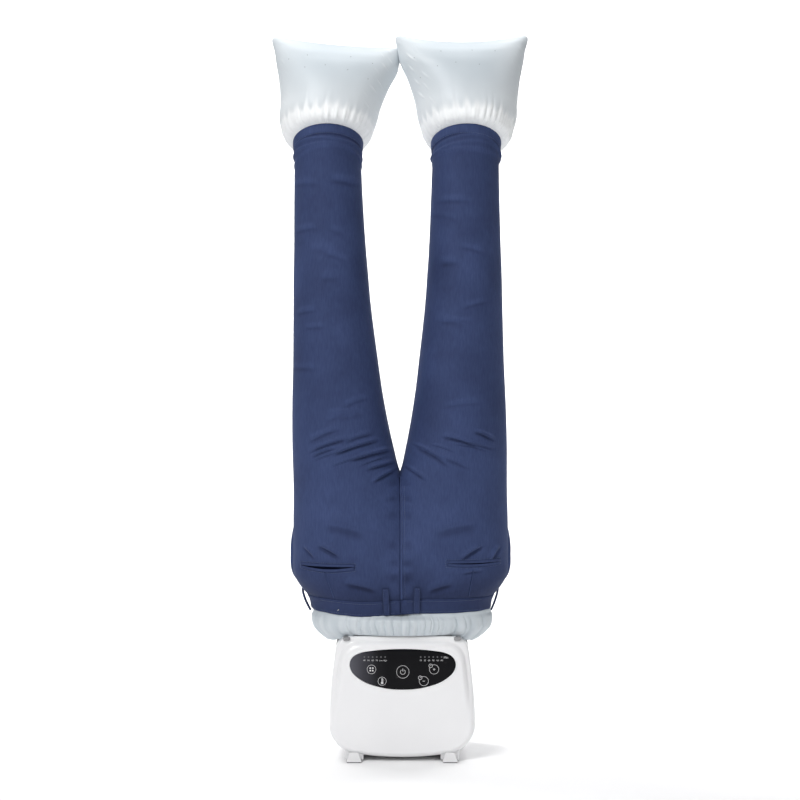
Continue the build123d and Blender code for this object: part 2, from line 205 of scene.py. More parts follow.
def join_meshes(parts):
    points, faces = [], []
    for some, sides in parts:
        start = len(points)
        points.extend(some)
        faces.extend([tuple(i + start for i in face) for face in sides])
    return points, faces


def thicken(piece, depth):
    shell = piece.modifiers.new("thickness", "SOLIDIFY")
    shell.thickness = depth
    shell.offset = -1.0
    shell.use_even_offset = False


def mark(piece, amounts, name="gathers_and_painted_light"):
    """Stores at each vertex, from 0 to 1, how much the cloth is whitened by stacked gathers and by painted
    light and highlights, or how deep its painted shade is.
    """
    store = piece.data.attributes.new(name, "FLOAT", "POINT")
    amounts = np.broadcast_to(amounts, len(piece.data.vertices))
    store.data.foreach_set("value", np.array(amounts, np.float32))


# ------------------------------------------------------------------ materials
class Maker:
    """Builds one node material. Names of inputs are written with _ for a space."""

    def __init__(self, name):
        self.material = bpy.data.materials.new(name)
        self.material.use_nodes = True
        self.nodes = self.material.node_tree.nodes
        self.links = self.material.node_tree.links
        self.shader = self.nodes["Principled BSDF"]

    def fill(self, socket, value):
        """Feeds an input with a number, a colour or another node's output."""
        if isinstance(value, bpy.types.NodeSocket):
            self.links.new(value, socket)
        else:
            socket.default_value = value

    def set(self, **values):
        for name, value in values.items():
            self.fill(self.shader.inputs[name.replace("_", " ")], value)

    def node(self, kind, settings=(), **inputs):
        node = self.nodes.new("ShaderNode" + kind)
        for name, value in dict(settings).items():
            setattr(node, name, value)
        for name, value in inputs.items():
            self.fill(node.inputs[name.replace("_", " ")], value)
        return node

    def place(self, scale=(1, 1, 1)):
        """The piece's own coordinates, scaled along each axis."""
        spot = self.node("TexCoord").outputs["Object"]
        return self.node("Mapping", Vector=spot, Scale=scale).outputs["Vector"]

    def noise(self, place, scale, detail=3.0, roughness=0.5):
        node = self.node("TexNoise", Vector=place, Scale=scale, Detail=detail, Roughness=roughness)
        return node.outputs["Fac"]

    def stored(self, name):
        """A number stored at each vertex."""
        return self.node("Attribute", {"attribute_name": name}).outputs["Fac"]

    def colours(self, factor, *stops):
        """A colour ramp; each stop is a position and a colour."""
        node = self.node("ValToRGB", Fac=factor)
        marks = node.color_ramp.elements
        for mark, (position, colour) in zip(marks, (stops[0], stops[-1])):
            mark.position = position
            mark.color = (*colour, 1)
        for position, colour in stops[1:-1]:
            marks.new(position).color = (*colour, 1)
        return node.outputs["Color"]

    def values(self, factor, low, high, start=0.3, end=0.7):
        node = self.node("MapRange", Value=factor, From_Min=start, From_Max=end, To_Min=low, To_Max=high)
        return node.outputs["Result"]

    def mix(self, blend, factor, first, second):
        """Mixes two colours. The node has inputs for each kind of data, so they are found by number."""
        node = self.node("Mix", {"data_type": "RGBA", "blend_type": blend})
        for number, value in ((0, factor), (6, first), (7, second)):
            self.fill(node.inputs[number], value)
        return node.outputs[2]

    def bump(self, height, strength, distance, **under):
        node = self.node("Bump", Height=height, Strength=strength, Distance=distance, **under)
        return node.outputs["Normal"]


def darker(colour, share):
    return tuple(c * share for c in colour)


def plastic(name, colour, shade, roughness, grain=0.00006, coat=0.0, spots=900.0):
    """Moulded plastic: a faint mottle and a fine grain."""
    made = Maker(name)
    place = made.place()
    grit = made.noise(place, spots, 2.0)
    made.set(
        Base_Color=made.colours(made.noise(place, 9.0, 2.0), (0.3, shade), (0.7, colour)),
        Roughness=made.values(grit, roughness - 0.04, roughness + 0.05),
        Normal=made.bump(grit, 0.35, grain),
        Coat_Weight=coat,
        Coat_Roughness=0.12,
    )
    return made.material


def metal(name, colour, roughness):
    """Drawn metal with streaks along its length."""
    made = Maker(name)
    streaks = made.noise(made.place((1, 1, 40)), 60.0, 2.0)
    made.set(
        Base_Color=made.colours(streaks, (0.3, darker(colour, 0.8)), (0.7, colour)),
        Roughness=made.values(streaks, roughness - 0.06, roughness + 0.08),
        Metallic=1.0,
    )
    return made.material


def twill(name):
    """Navy cotton twill: steep diagonal ribs of about 0.6 mm, mottled dye, a little fuzz."""
    made = Maker(name)
    place = made.place()
    ribs = made.node(
        "TexWave",
        {"wave_type": "BANDS", "bands_direction": "DIAGONAL"},
        Vector=place,
        Scale=260.0,
        Distortion=1.2,
        Detail=2.0,
        Detail_Scale=3.0,
    )
    slubs = made.noise(made.place((1, 1, 0.14)), 420.0, 2.0)
    cloud = made.noise(place, 11.0, 4.0, 0.6)
    dye = made.colours(
        cloud, (0.3, (0.033, 0.051, 0.134)), (0.5, (0.038, 0.059, 0.152)), (0.72, (0.044, 0.067, 0.170))
    )
    tone = made.colours(slubs, (0.3, (0.72, 0.74, 0.78)), (0.7, (1.12, 1.12, 1.1)))
    cloth = made.mix("MULTIPLY", 0.55, dye, tone)
    fine = made.bump(ribs.outputs["Fac"], 0.35, 0.0003)
    # The stored shaded amount darkens the cloth towards a dark navy: painted shade.
    made.set(
        Base_Color=made.mix("MULTIPLY", made.stored("shaded"), cloth, (0.22, 0.25, 0.34, 1)),
        Normal=made.bump(slubs, 0.3, 0.0004, Normal=fine),
        Roughness=0.75,
        Sheen_Weight=0.05,
        Sheen_Roughness=0.4,
        Sheen_Tint=(0.55, 0.65, 0.95, 1),
        Specular_IOR_Level=0.25,
    )
    return made.material


def satin(name):
    """Thin pale blue-grey nylon with a soft sheen and a fine weave, whiter where its gathers stack up and
    where light and highlights are painted on.
    """
    made = Maker(name)
    cloud = made.noise(made.place(), 7.0, 3.0)
    base = made.colours(cloud, (0.3, (0.505, 0.560, 0.602)), (0.7, (0.560, 0.612, 0.65)))
    threads = made.noise(made.place((1, 1, 0.3)), 1400.0, 1.0)
    creases = made.noise(made.place((1, 1, 0.45)), 70.0, 4.0, 0.6)
    made.set(
        Base_Color=made.mix("MIX", made.stored("gathers_and_painted_light"), base, (0.93, 0.95, 0.96, 1)),
        Normal=made.bump(creases, 0.18, 0.0012, Normal=made.bump(threads, 0.12, 0.0001)),
        Roughness=made.values(creases, 0.36, 0.48),
        Sheen_Weight=0.1,
        Sheen_Roughness=0.3,
        Specular_IOR_Level=0.4,
    )
    return made.material


def thread(name, colour, fuzz=0.3):
    """Twisted thread, tape or a cloth edge; no fuzz makes it dull."""
    made = Maker(name)
    twist = made.noise(made.place(), 2600.0, 1.0)
    made.set(
        Base_Color=made.colours(twist, (0.3, darker(colour, 0.6)), (0.7, colour)),
        Roughness=0.7,
        Sheen_Weight=fuzz,
        Specular_IOR_Level=fuzz,
    )
    return made.material


def glow(name, colour, light):
    """Printed or lit marks: an even colour with a little light of its own."""
    made = Maker(name)
    grain = made.noise(made.place(), 800.0, 1.0)
    made.set(
        Base_Color=made.colours(grain, (0.3, darker(colour, 0.85)), (0.7, colour)),
        Roughness=0.5,
        Emission_Color=(*colour, 1),
        Emission_Strength=light,
    )
    return made.material


def panel_black():
    """Glossy black with a painted reflection of the light: greyer at its left end."""
    made = Maker("panel_black")
    across = made.node("SeparateXYZ", Vector=made.place()).outputs["X"]
    made.set(
        Base_Color=made.colours(
            made.values(across, 0.0, 1.0, -0.106, -0.030),
            (0.0, (0.100, 0.100, 0.118)),
            (0.35, (0.045, 0.045, 0.055)),
            (0.75, (0.009, 0.009, 0.011)),
            (1.0, (0.0035, 0.0035, 0.0048)),
        ),
        Roughness=made.values(made.noise(made.place(), 14.0, 3.0), 0.10, 0.16),
        Specular_IOR_Level=0.12,
    )
    return made.material


WHITE = (0.885, 0.885, 0.895)
M_COVER = plastic("cover_white", WHITE, (0.862, 0.862, 0.875), 0.33, coat=0.25)
M_SHELL = plastic("shell_white", (0.80, 0.80, 0.81), (0.77, 0.77, 0.785), 0.42)
M_SEAL = plastic("seal_grey", (0.30, 0.30, 0.305), (0.24, 0.24, 0.245), 0.6)
M_FOOT = plastic("foot_white", (0.80, 0.80, 0.81), (0.77, 0.77, 0.78), 0.4)
M_PAD = plastic("pad_rubber", (0.16, 0.16, 0.16), (0.11, 0.11, 0.11), 0.8)
M_CATCH = plastic("catch_grey", (0.33, 0.33, 0.34), (0.25, 0.25, 0.26), 0.45)
M_DARK = plastic("dark_plastic", (0.05, 0.05, 0.052), (0.03, 0.03, 0.032), 0.5)
M_BOARD = plastic("board_green", (0.03, 0.16, 0.07), (0.02, 0.11, 0.05), 0.45)
M_STEEL = metal("steel", (0.62, 0.62, 0.63), 0.35)
M_ALU = metal("aluminium", (0.75, 0.75, 0.77), 0.3)
M_CERAMIC = plastic("ceramic", (0.50, 0.45, 0.38), (0.42, 0.38, 0.32), 0.75)
M_FILTER = plastic("filter_mesh", (0.10, 0.10, 0.11), (0.05, 0.05, 0.055), 0.9, grain=0.0004, spots=400.0)
M_TWILL = twill("twill_navy")
M_SATIN = satin("bag_satin")
M_STITCH = thread("stitch_blue", (0.090, 0.130, 0.270))
M_BAND = thread("band_grey", (0.45, 0.47, 0.5))
M_TACK = thread("tack_thread", (0.45, 0.47, 0.52))
M_VENT = thread("vent_dot", (0.22, 0.25, 0.27))
# Dark strips of painted shadow: in the pockets' slits and mouths, and beside the seams' ridges.
M_SLIT_SHADOW = thread("pocket_shadow", (0.004, 0.006, 0.017), 0.0)
M_CREASE_SHADOW = thread("seam_shadow", (0.009, 0.014, 0.040), 0.0)
M_PANEL = panel_black()
# The printed marks glow a little: painted light.
M_MARK = glow("mark_white", (0.62, 0.62, 0.63), 0.12)
M_LED = glow("led_grey", (0.10, 0.10, 0.105), 0.02)


# ------------------------------------------------------------------ trousers
def leg_shape(z):
    """Centre offset, half width and half depth of a leg at each height."""
    return tuple(follow(LEG[:, 1], LEG[:, k], z) for k in (0, 2, 3))


def hem_height(y):
    return CUFF_Z - CUFF_SLOPE * y


# All drag lines are this much deeper than their height says.
FOLD_GAIN = 1.30
# How far a line sags in its middle and how long its ends fade, as shares of its length.
FOLD_SAG = 0.035
FOLD_FADE = 0.35
# The hollow beside a line: its place and width as shares of the line's width, its depth of the line's height.
HOLLOW_AT, HOLLOW_WIDTH, HOLLOW_DEPTH = 1.25, 0.62, 0.9


def fold(x, z, start, end, width, height):
    """A drag line: a ridge with a shallow hollow beside it, fading out at both ends."""
    start = np.array(start)
    span = np.array(end) - start
    length = np.hypot(*span)
    along = np.clip(((x - start[0]) * span[0] + (z - start[1]) * span[1]) / length**2, 0, 1)
    across = ((z - start[1]) * span[0] - (x - start[0]) * span[1]) / length
    across = across * np.sign(span[0]) - FOLD_SAG * length * np.sin(math.pi * along)
    fade = ease(along / FOLD_FADE) * ease((1 - along) / FOLD_FADE)
    hollow = peak(across + HOLLOW_AT * width, HOLLOW_WIDTH * width)
    return FOLD_GAIN * height * fade * (peak(across, width) - HOLLOW_DEPTH * hollow)


# Drag lines as (x, z) of both ends, width and height. The trousers' back faces the user.
BACK_FOLDS = [
    ((-0.196, 0.630), (-0.098, 0.664), 0.0042, 0.0030),
    ((-0.186, 0.622), (-0.128, 0.644), 0.0036, 0.0024),
    ((-0.146, 0.625), (-0.036, 0.660), 0.0040, 0.0040),
    ((-0.108, 0.615), (-0.014, 0.638), 0.0038, 0.0042),
    ((-0.074, 0.596), (-0.006, 0.612), 0.0034, 0.0034),
    ((-0.060, 0.570), (-0.006, 0.598), 0.0036, 0.0038),
    ((-0.195, 0.652), (-0.120, 0.684), 0.0050, 0.0018),
    ((-0.120, 0.652), (-0.050, 0.674), 0.0045, 0.0018),
    ((0.168, 0.644), (0.082, 0.668), 0.0042, 0.0040),
    ((0.200, 0.656), (0.150, 0.678), 0.0036, 0.0036),
    ((0.205, 0.640), (0.120, 0.654), 0.0050, 0.0018),
    ((0.108, 0.602), (0.030, 0.648), 0.0048, 0.0026),
    ((0.150, 0.600), (0.060, 0.632), 0.0052, 0.0018),
    ((0.060, 0.572), (0.008, 0.604), 0.0040, 0.0022),
    ((-0.185, 0.612), (-0.100, 0.640), 0.0022, 0.0014),
    ((-0.150, 0.600), (-0.062, 0.628), 0.0022, 0.0016),
    ((-0.090, 0.602), (-0.020, 0.624), 0.0020, 0.0018),
    ((0.190, 0.632), (0.100, 0.652), 0.0022, 0.0016),
    ((0.090, 0.618), (0.020, 0.652), 0.0024, 0.0014),
    ((0.120, 0.630), (0.060, 0.650), 0.0022, 0.0012),
    ((0.172, 0.392), (0.120, 0.386), 0.0040, 0.0016),
    ((-0.170, 0.446), (-0.118, 0.420), 0.0062, 0.0042),
    ((-0.200, 0.440), (-0.172, 0.414), 0.0050, 0.0024),
    ((0.118, 0.414), (0.170, 0.446), 0.0050, 0.0044),
    ((0.184, 0.410), (0.204, 0.440), 0.0050, 0.0026),
    ((-0.120, 0.372), (-0.040, 0.356), 0.0070, 0.0018),
    ((0.050, 0.352), (0.110, 0.370), 0.0070, 0.0018),
    ((0.060, 0.480), (0.160, 0.500), 0.0160, 0.0016),
    ((-0.160, 0.500), (-0.060, 0.476), 0.0160, 0.0016),
]
FRONT_FOLDS = [
    ((-0.180, 0.640), (-0.040, 0.676), 0.0050, 0.0022),
    ((-0.150, 0.606), (-0.026, 0.640), 0.0045, 0.0026),
    ((-0.100, 0.572), (-0.012, 0.608), 0.0045, 0.0026),
    ((0.185, 0.636), (0.045, 0.668), 0.0050, 0.0022),
    ((0.140, 0.600), (0.024, 0.636), 0.0045, 0.0026),
    ((0.095, 0.566), (0.012, 0.600), 0.0045, 0.0024),
    ((-0.170, 0.470), (-0.090, 0.430), 0.0070, 0.0020),
    ((0.165, 0.476), (0.085, 0.432), 0.0070, 0.0020),
]
# Faint random folds down the legs, by turns on the front and on the back.
LEG_FOLD_COUNT = 46
draw = np.random.default_rng(11)
leg_folds = []
for number in range(LEG_FOLD_COUNT):
    middle_x = draw.choice([-1, 1]) * draw.uniform(0.09, 0.20)
    middle_z = draw.uniform(0.70, 1.22)
    reach = draw.uniform(0.02, 0.05)
    rise = draw.uniform(-0.4, 0.4) * reach
    ends = (middle_x - reach, middle_z - rise), (middle_x + reach, middle_z + rise)
    leg_folds.append((*ends, draw.uniform(0.005, 0.010), draw.uniform(0.0003, 0.0008)))
FRONT_FOLDS += leg_folds[::2]
BACK_FOLDS += leg_folds[1::2]
# How wide the hem is, and the folds below it: distance from the cuff's edge, width and height.
HEM_BAND = 0.0175
HEM_FOLDS = [(0.0250, 0.0025, 0.0040), (0.0335, 0.0030, 0.0034), (0.0450, 0.0046, 0.0020)]
# The side pockets gape between these heights.
POCKET_Z = (0.362, 0.470)
POCKET_GAPE = 0.0060
# Below CROTCH_Z the centre seam lies flat and puckers the cloth beside it.
CROTCH_Z = 0.57
PUCKER = 0.0010
# Wide soft folds all over.
SOFT_FOLD = 0.0014


def leg_angle(x, y, z):
    """Direction around the nearer leg: 0 at its outer side, positive towards the user."""
    centre, width, depth = leg_shape(z)
    return np.arctan2(-y / depth, (np.abs(x) - centre) / width)


def cloth_lift(x, y, z):
    """How far the cloth stands off the smooth leg there."""
    angle = leg_angle(x, y, z)
    side = np.sign(x)
    lift = np.zeros_like(z)
    for facing, folds in ((-1, BACK_FOLDS), (1, FRONT_FOLDS)):
        share = ramp(facing * y, 0.004, 0.03)
        for start, end, breadth, height in folds:
            lift += share * fold(x, z, start, end, breadth, height)
    lift += SOFT_FOLD * wander(z, 3, 5, 14, 60) * wander(angle + side, 4, 4, 1.0, 4.0)
    drop = hem_height(y) - z
    for number, (place, breadth, height) in enumerate(HEM_FOLDS):
        sway = 0.005 * np.sin(2.0 * angle + 1.3 * number + 2.2 * side)
        strength = 0.62 + 0.38 * np.sin(1.7 * angle + 2.0 * number + side)
        lift += height * strength * peak(drop - place - sway, breadth)
    lift += 0.0010 * ramp(drop, HEM_BAND + 0.0015, HEM_BAND - 0.0015)
    lift -= 0.0012 * bump(drop, HEM_BAND + 0.003, 0.004)
    flap = np.sin(math.pi * np.clip((z - POCKET_Z[0]) / (POCKET_Z[1] - POCKET_Z[0]), 0, 1))
    lift += POCKET_GAPE * flap**0.8 * ramp(angle, 0.10, 0.02) * ramp(angle, -0.75, -0.25)
    below = ramp(z, CROTCH_Z + 0.03, CROTCH_Z)
    puckers = PUCKER * np.sin(z * 150.0 + 1.5 * np.sin(z * 47.0))
    return lift * (1.0 - peak(x, 0.012) * below) + puckers * peak(np.abs(x) - 0.014, 0.010) * below


WAIST_SAG = 0.0072


def waist_sag(x, y, z):
    """The waist hangs a little lower left of the middle, on the side facing the user."""
    share = (bump(x, -0.075, 0.130) + 0.05) * ramp(-y, 0.0, 0.05)
    return WAIST_SAG * share * ramp(z, 0.40, 0.30)


# The width of the bridge, and how near to full depth it comes.
FILL_WIDTH = 0.034
FILL_SHARE = 0.985


def across_cleft(x, y, z, inset=0.0):
    """Near the waist the cloth bridges the cleft between the two lobes."""
    depth = leg_shape(z)[2] - inset
    share = peak(x, FILL_WIDTH) * ramp(z, 0.500, 0.345) * ramp(np.abs(y), 0.4 * depth, 0.6 * depth)
    return y + (np.sign(y) * depth * FILL_SHARE - y) * share


def leg_loop(angles, height_of, inset=0.0):
    """A loop in a leg at heights that depend on y: the leg's centre offset, x from there, y and z."""
    y = np.zeros_like(angles)
    for step in range(3):
        z = height_of(y)
        centre, width, depth = leg_shape(z)
        y = -(depth - inset) * np.sin(angles)
    return centre, (width - inset) * np.cos(angles), y, z


def half_grid(columns, rows, height_of, inset=0.0):
    """Points of the right-hand leg tube. rows holds (share of the height, extra inset, extra height)."""
    angles = round_angles(columns)
    points = []
    for share, extra, raise_by in rows:
        centre, x, y, z = leg_loop(angles, lambda y: height_of(share, y), inset + extra)
        y = across_cleft(centre + x, y, z, inset + extra)
        points.append(points_at(centre + x, y, z + raise_by))
    return np.concatenate(points)


# Points closer than WELD are joined; those within MIDDLE of x = 0 lie in the middle plane.
WELD = 1e-5
MIDDLE = 1e-6


def clipped_pair(points, faces):
    """The right-hand tube cut at the middle plane, joined to its mirror image there."""
    mesh = bmesh.new()
    corners = [mesh.verts.new(p) for p in points]
    for face in faces:
        mesh.faces.new([corners[i] for i in face])
    bmesh.ops.bisect_plane(
        mesh,
        geom=mesh.verts[:] + mesh.edges[:] + mesh.faces[:],
        plane_co=(0, 0, 0),
        plane_no=(1, 0, 0),
        clear_inner=True,
        dist=WELD,
    )
    mesh.verts.ensure_lookup_table()
    for vert in mesh.verts:
        if abs(vert.co.x) < 2 * WELD:
            vert.co.x = 0.0
    copied = bmesh.ops.duplicate(mesh, geom=mesh.verts[:] + mesh.edges[:] + mesh.faces[:])["geom"]
    for vert in [item for item in copied if isinstance(item, bmesh.types.BMVert)]:
        vert.co.x = -vert.co.x
    bmesh.ops.reverse_faces(mesh, faces=[item for item in copied if isinstance(item, bmesh.types.BMFace)])
    middle = [vert for vert in mesh.verts if abs(vert.co.x) < MIDDLE]
    bmesh.ops.remove_doubles(mesh, verts=middle, dist=WELD)
    mesh.verts.index_update()
    out = np.array([vert.co[:] for vert in mesh.verts])
    joined = [[vert.index for vert in face.verts] for face in mesh.faces]
    made = bpy.data.meshes.new("pair")
    mesh.to_mesh(made)
    normals = np.empty(len(made.vertices) * 3)
    made.vertices.foreach_get("normal", normals)
    mesh.free()
    bpy.data.meshes.remove(made)
    return out, joined, normals.reshape(-1, 3)


# How much painted shade darkens the cloth near the waist and down the legs, and at most in its hollows; on
# its ridges the painted shade is less.
WAIST_SHADE, LEG_SHADE = 0.74, 0.20
HOLLOW_SHADE, RIDGE_SHADE = 0.45, -0.20
SHADE_DEPTH = 0.0030


def garment(name, rows, height_of, columns, lift_by):
    """Cloth over both legs, with painted shade near the waist, down the legs and in its hollows."""
    faces = grid_faces(len(rows), columns, flip=True)
    points, faces, normals = clipped_pair(half_grid(columns, rows, height_of), faces)
    x, y, z = points.T
    middle = np.abs(x) < MIDDLE
    normals[middle, 0] = 0.0
    lift = lift_by(x, y, z)
    shifted = points + normals * lift[:, None]
    shifted[middle, 0] = 0.0
    shifted[:, 0] += lean_x(shifted[:, 2])
    shifted[:, 2] -= waist_sag(*shifted.T)
    piece = mesh_object(name, shifted, faces, M_TWILL, BAG, "twill_navy")
    # Painted shade: the waist, which faces down, the legs and the folds' hollows are darkened.
    shade = WAIST_SHADE * ramp(z, 0.430, 0.318) + LEG_SHADE * ramp(z, 0.56, 0.78)
    shade = shade + np.clip(-lift / SHADE_DEPTH, RIDGE_SHADE, HOLLOW_SHADE)
    mark(piece, np.clip(shade, 0, 1), "shaded")
    return piece


def even_rows(count, tail=()):
    return [(k / (count - 1), 0.0, 0.0) for k in range(count)] + list(tail)


TROUSER_ROWS, TROUSER_COLUMNS = 460, 264
BAND_COLUMNS = 216
BAND_LIFT = 0.0009
# The cloth turns in at the cuffs: share of the height, inset and extra height.
HEM_RETURN = ((1.0, 0.0008, 0.0006), (1.0, 0.0020, 0.0003), (1.0, 0.0024, -0.004))


def trouser_height(share, y):
    low = WAIST_SEAM_Z - 0.002
    return low + share * (hem_height(y) - low)


trousers = garment(
    "trousers_body", even_rows(TROUSER_ROWS, HEM_RETURN), trouser_height, TROUSER_COLUMNS, cloth_lift
)
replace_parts(trousers, "trousers_seat", "trousers_leg_left", "trousers_leg_right")


def band_height(share, y):
    """The same all round; y only says how many points there are."""
    return WAIST_Z + share * (WAIST_SEAM_Z + 0.0005 - WAIST_Z) + 0.0 * y


def band_lift(x, y, z):
    """How far the waistband stands off the legs: thicker at its edges, thin at the middle seam."""
    soft = wander(leg_angle(x, y, z) * 3.0 + 5.0 * np.sign(x), 21, 5, 1.0, 6.0)
    edge = ramp(z, WAIST_SEAM_Z, WAIST_SEAM_Z - 0.003) * ramp(z, WAIST_Z, WAIST_Z + 0.003)
    lift = BAND_LIFT * (1.0 + edge + soft * ramp(z, WAIST_SEAM_Z, WAIST_Z))
    return lift * (1.0 - peak(x, 0.006))


BAND_ROWS = [(0.0, 0.0030, 0.008), (0.0, 0.0026, 0.001), (0.0, 0.0010, -0.0004)]
BAND_ROWS += even_rows(14, [(1.0, 0.0016, 0.0003)])
waistband = garment("waistband_cloth", BAND_ROWS, band_height, BAND_COLUMNS, band_lift)
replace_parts(waistband, "waistband")


def surface(x, z, facing, lift):
    """Points on the cloth facing the user (facing -1) or away (facing 1), and their normals."""

    def spot(x, z):
        centre, width, depth = leg_shape(z)
        share = np.clip((np.abs(x) - centre) / width, -0.9999, 0.9999)
        return across_cleft(x, facing * depth * np.sqrt(1 - share**2), z)

    step = 1e-4
    y = spot(x, z)
    slope_x = (spot(x + step, z) - spot(x - step, z)) / (2 * step)
    slope_z = (spot(x, z + step) - spot(x, z - step)) / (2 * step)
    normal = points_at(-slope_x * facing, facing, -slope_z * facing)
    normal = normal / np.linalg.norm(normal, axis=-1)[..., None]
    height = np.where(z < WAIST_SEAM_Z, band_lift(x, y, z), cloth_lift(x, y, z)) + lift
    points = points_at(x, y, z) + normal * height[..., None]
    points[..., 0] += lean_x(z)
    points[..., 2] -= waist_sag(*points.T)
    return points, normal


def run(start, end, count, lift, facing=-1, bow=0.0):
    """A straight or bowed run over the cloth between two (x, z), with its normals."""
    t = np.linspace(0, 1, count)
    x = start[0] + (end[0] - start[0]) * t
    z = start[1] + (end[1] - start[1]) * t + bow * np.sin(math.pi * t)
    return surface(x, z, facing, lift)


def beside(ends, shift):
    return [(x + shift, z) for x, z in ends]


STITCH_LENGTH, STITCH_PITCH, STITCH_RADIUS = 0.0028, 0.0044, 0.00048
STITCH_LIFT = 0.0003


def stitch_mesh(runs):
    """Small spindles along 3-D runs of (points, normals)."""
    points, faces = [], []
    for path, normal in runs:
        steps = np.concatenate([[0], np.cumsum(np.linalg.norm(np.diff(path, axis=0), axis=1))])

        def at_step(place, values):
            return np.array([np.interp(place, steps, values[:, k]) for k in range(3)])

        for at in np.arange(STITCH_PITCH / 2, steps[-1], STITCH_PITCH):
            tail, middle, head = (at_step(at + k * STITCH_LENGTH / 2, path) for k in (-1, 0, 1))
            up = at_step(at, normal)
            ahead = head - tail
            ahead /= max(np.linalg.norm(ahead), 1e-9)
            side = np.cross(ahead, up)
            first = len(points)
            points.append(tail - up * STITCH_RADIUS * 0.4)
            for turn in range(4):
                spin = turn * math.pi / 2 + math.pi / 4
                points.append(middle + STITCH_RADIUS * (math.cos(spin) * side + math.sin(spin) * up))
            points.append(head - up * STITCH_RADIUS * 0.4)
            for turn in range(4):
                here, there = first + 1 + turn, first + 1 + (turn + 1) % 4
                faces.append((first, here, there))
                faces.append((first + 5, there, here))
    return points, faces


# A strip's section, across and up, as shares of its width and thickness.
STRIP_EDGE = [(-0.5, 0.0), (-0.48, 0.7), (-0.40, 1.0), (-0.2, 1.04)]
STRIP_SECTION = STRIP_EDGE + [(-u, v) for u, v in reversed(STRIP_EDGE)]


def strip_mesh(path, normal, width, thick):
    """A flat cloth strip along a run, with rounded edges."""
    points = []
    for place, up, across in zip(path, normal, np.cross(directions(path), normal)):
        for u, v in STRIP_SECTION:
            points.append(place + across * u * width + up * v * thick)
    columns = len(STRIP_SECTION)
    faces = grid_faces(len(path), columns)
    faces.append(tuple(range(columns))[::-1])
    faces.append(tuple(range(len(points) - columns, len(points))))
    return points, faces


def cloth_part(name, parts, material, shade=None):
    """A part sewn to the trousers, from several meshes; shade, if given, darkens it with painted shade."""
    piece = mesh_object(name, *join_meshes(parts), material, BAG, "twill_navy")
    if shade is not None:
        mark(piece, shade, "shaded")
    return piece


# Belt loops: two at the centre back, one at each side, two at the front.
LOOP_TOP = 0.356
LOOP_LOW = 0.3045
SIDE_LOOP_TOP, SIDE_LOOP_RUN = 0.342, 0.045
LOOP_WIDTH = 0.0130
LOOP_THICK = 0.0021
SIDE_LOOP_THICK = 0.0038
SIDE_LOOP_X = {-1: 0.2040, 1: 0.2020}
# Their stitches run at this share of the width from the middle.
LOOP_STITCHES = 0.36
loops, loop_runs = [], []


def loop_path(facing, x, stand, lean):
    """A loop's middle line; facing 0 is for a loop at the side, where x is only its sign."""
    t = np.linspace(0, 1, 25)
    if facing:
        z = np.linspace(LOOP_TOP, LOOP_LOW, len(t))
        return surface(x + lean * t, z, facing, 0.0006 + stand * np.sin(math.pi * t) ** 0.6)
    z = SIDE_LOOP_TOP - SIDE_LOOP_RUN * t
    out = x * (SIDE_LOOP_X[x] - 0.0155 * t**1.3 + stand * np.sin(math.pi * t))
    path = points_at(out + lean_x(z), lean * t, z)
    return path, points_at(x, 0.0 * t, 0.0)


for facing, x, stand, lean in (
    (-1, -0.0310, 0.0022, 0.0020),
    (-1, 0.0340, 0.0022, -0.0015),
    (1, -0.0950, 0.0022, 0.0015),
    (1, 0.0950, 0.0022, -0.0010),
    (0, -1, 0.0012, 0.0030),
    (0, 1, 0.0006, -0.0030),
):
    path, normal = loop_path(facing, x, stand, lean)
    loops.append(strip_mesh(path, normal, LOOP_WIDTH, LOOP_THICK if facing else SIDE_LOOP_THICK))
    across = np.cross(directions(path), normal)
    for edge in (-LOOP_STITCHES, LOOP_STITCHES):
        loop_runs.append((path + across * edge * LOOP_WIDTH + normal * LOOP_THICK, normal))
    for end in (1, -2):
        bar = np.linspace(-LOOP_STITCHES, LOOP_STITCHES, 6)[:, None] * LOOP_WIDTH
        tack = path[end] + bar * across[end] + normal[end] * LOOP_THICK
        loop_runs.append((tack, np.repeat(normal[end][None], 6, axis=0)))
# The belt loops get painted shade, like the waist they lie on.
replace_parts(cloth_part("belt_loops_cloth", loops, M_TWILL, 0.55), "belt_loops")

# Welt pockets on the back: a dark strip of painted shadow in the slit between two lips, with a line of
# stitches around them.
POCKET_IN = 0.0945
POCKET_OUT = 0.206
# Where the stitches run: beyond the pocket's inner end, above and below its slit, and over the cloth.
POCKET_EDGE = 0.003
ABOVE, BELOW = 0.0048, -0.0108
ON_TOP = 0.0004
welts, slit_shadows, pocket_runs = [], [], []
for side, high, sag in ((-1, 0.4010, -0.0052), (1, 0.4085, -0.0022)):
    inner, outer = side * POCKET_IN, side * POCKET_OUT
    edge = inner - side * POCKET_EDGE
    upper = run((inner, high), (outer, high - 0.001), 40, 0.0002)
    lower = run((inner, high - 0.0052), (outer, high - 0.0062), 40, 0.0001, bow=sag)
    slit = run((inner, high - 0.003), (outer, high - 0.0035), 40, 0.0, bow=sag / 2)
    welts.append(strip_mesh(*upper, 0.0052, 0.0017))
    welts.append(strip_mesh(*lower, 0.0050, 0.0019))
    slit_shadows.append(strip_mesh(*slit, 0.0028 - sag * 0.42, 0.0007))
    pocket_runs.append(run((edge, high + ABOVE), (outer, high + 0.0040), 40, ON_TOP))
    pocket_runs.append(run((edge, high + BELOW), (outer, high + BELOW), 40, ON_TOP, bow=sag))
    pocket_runs.append(run((edge, high + ABOVE), (edge, high + BELOW), 8, ON_TOP))
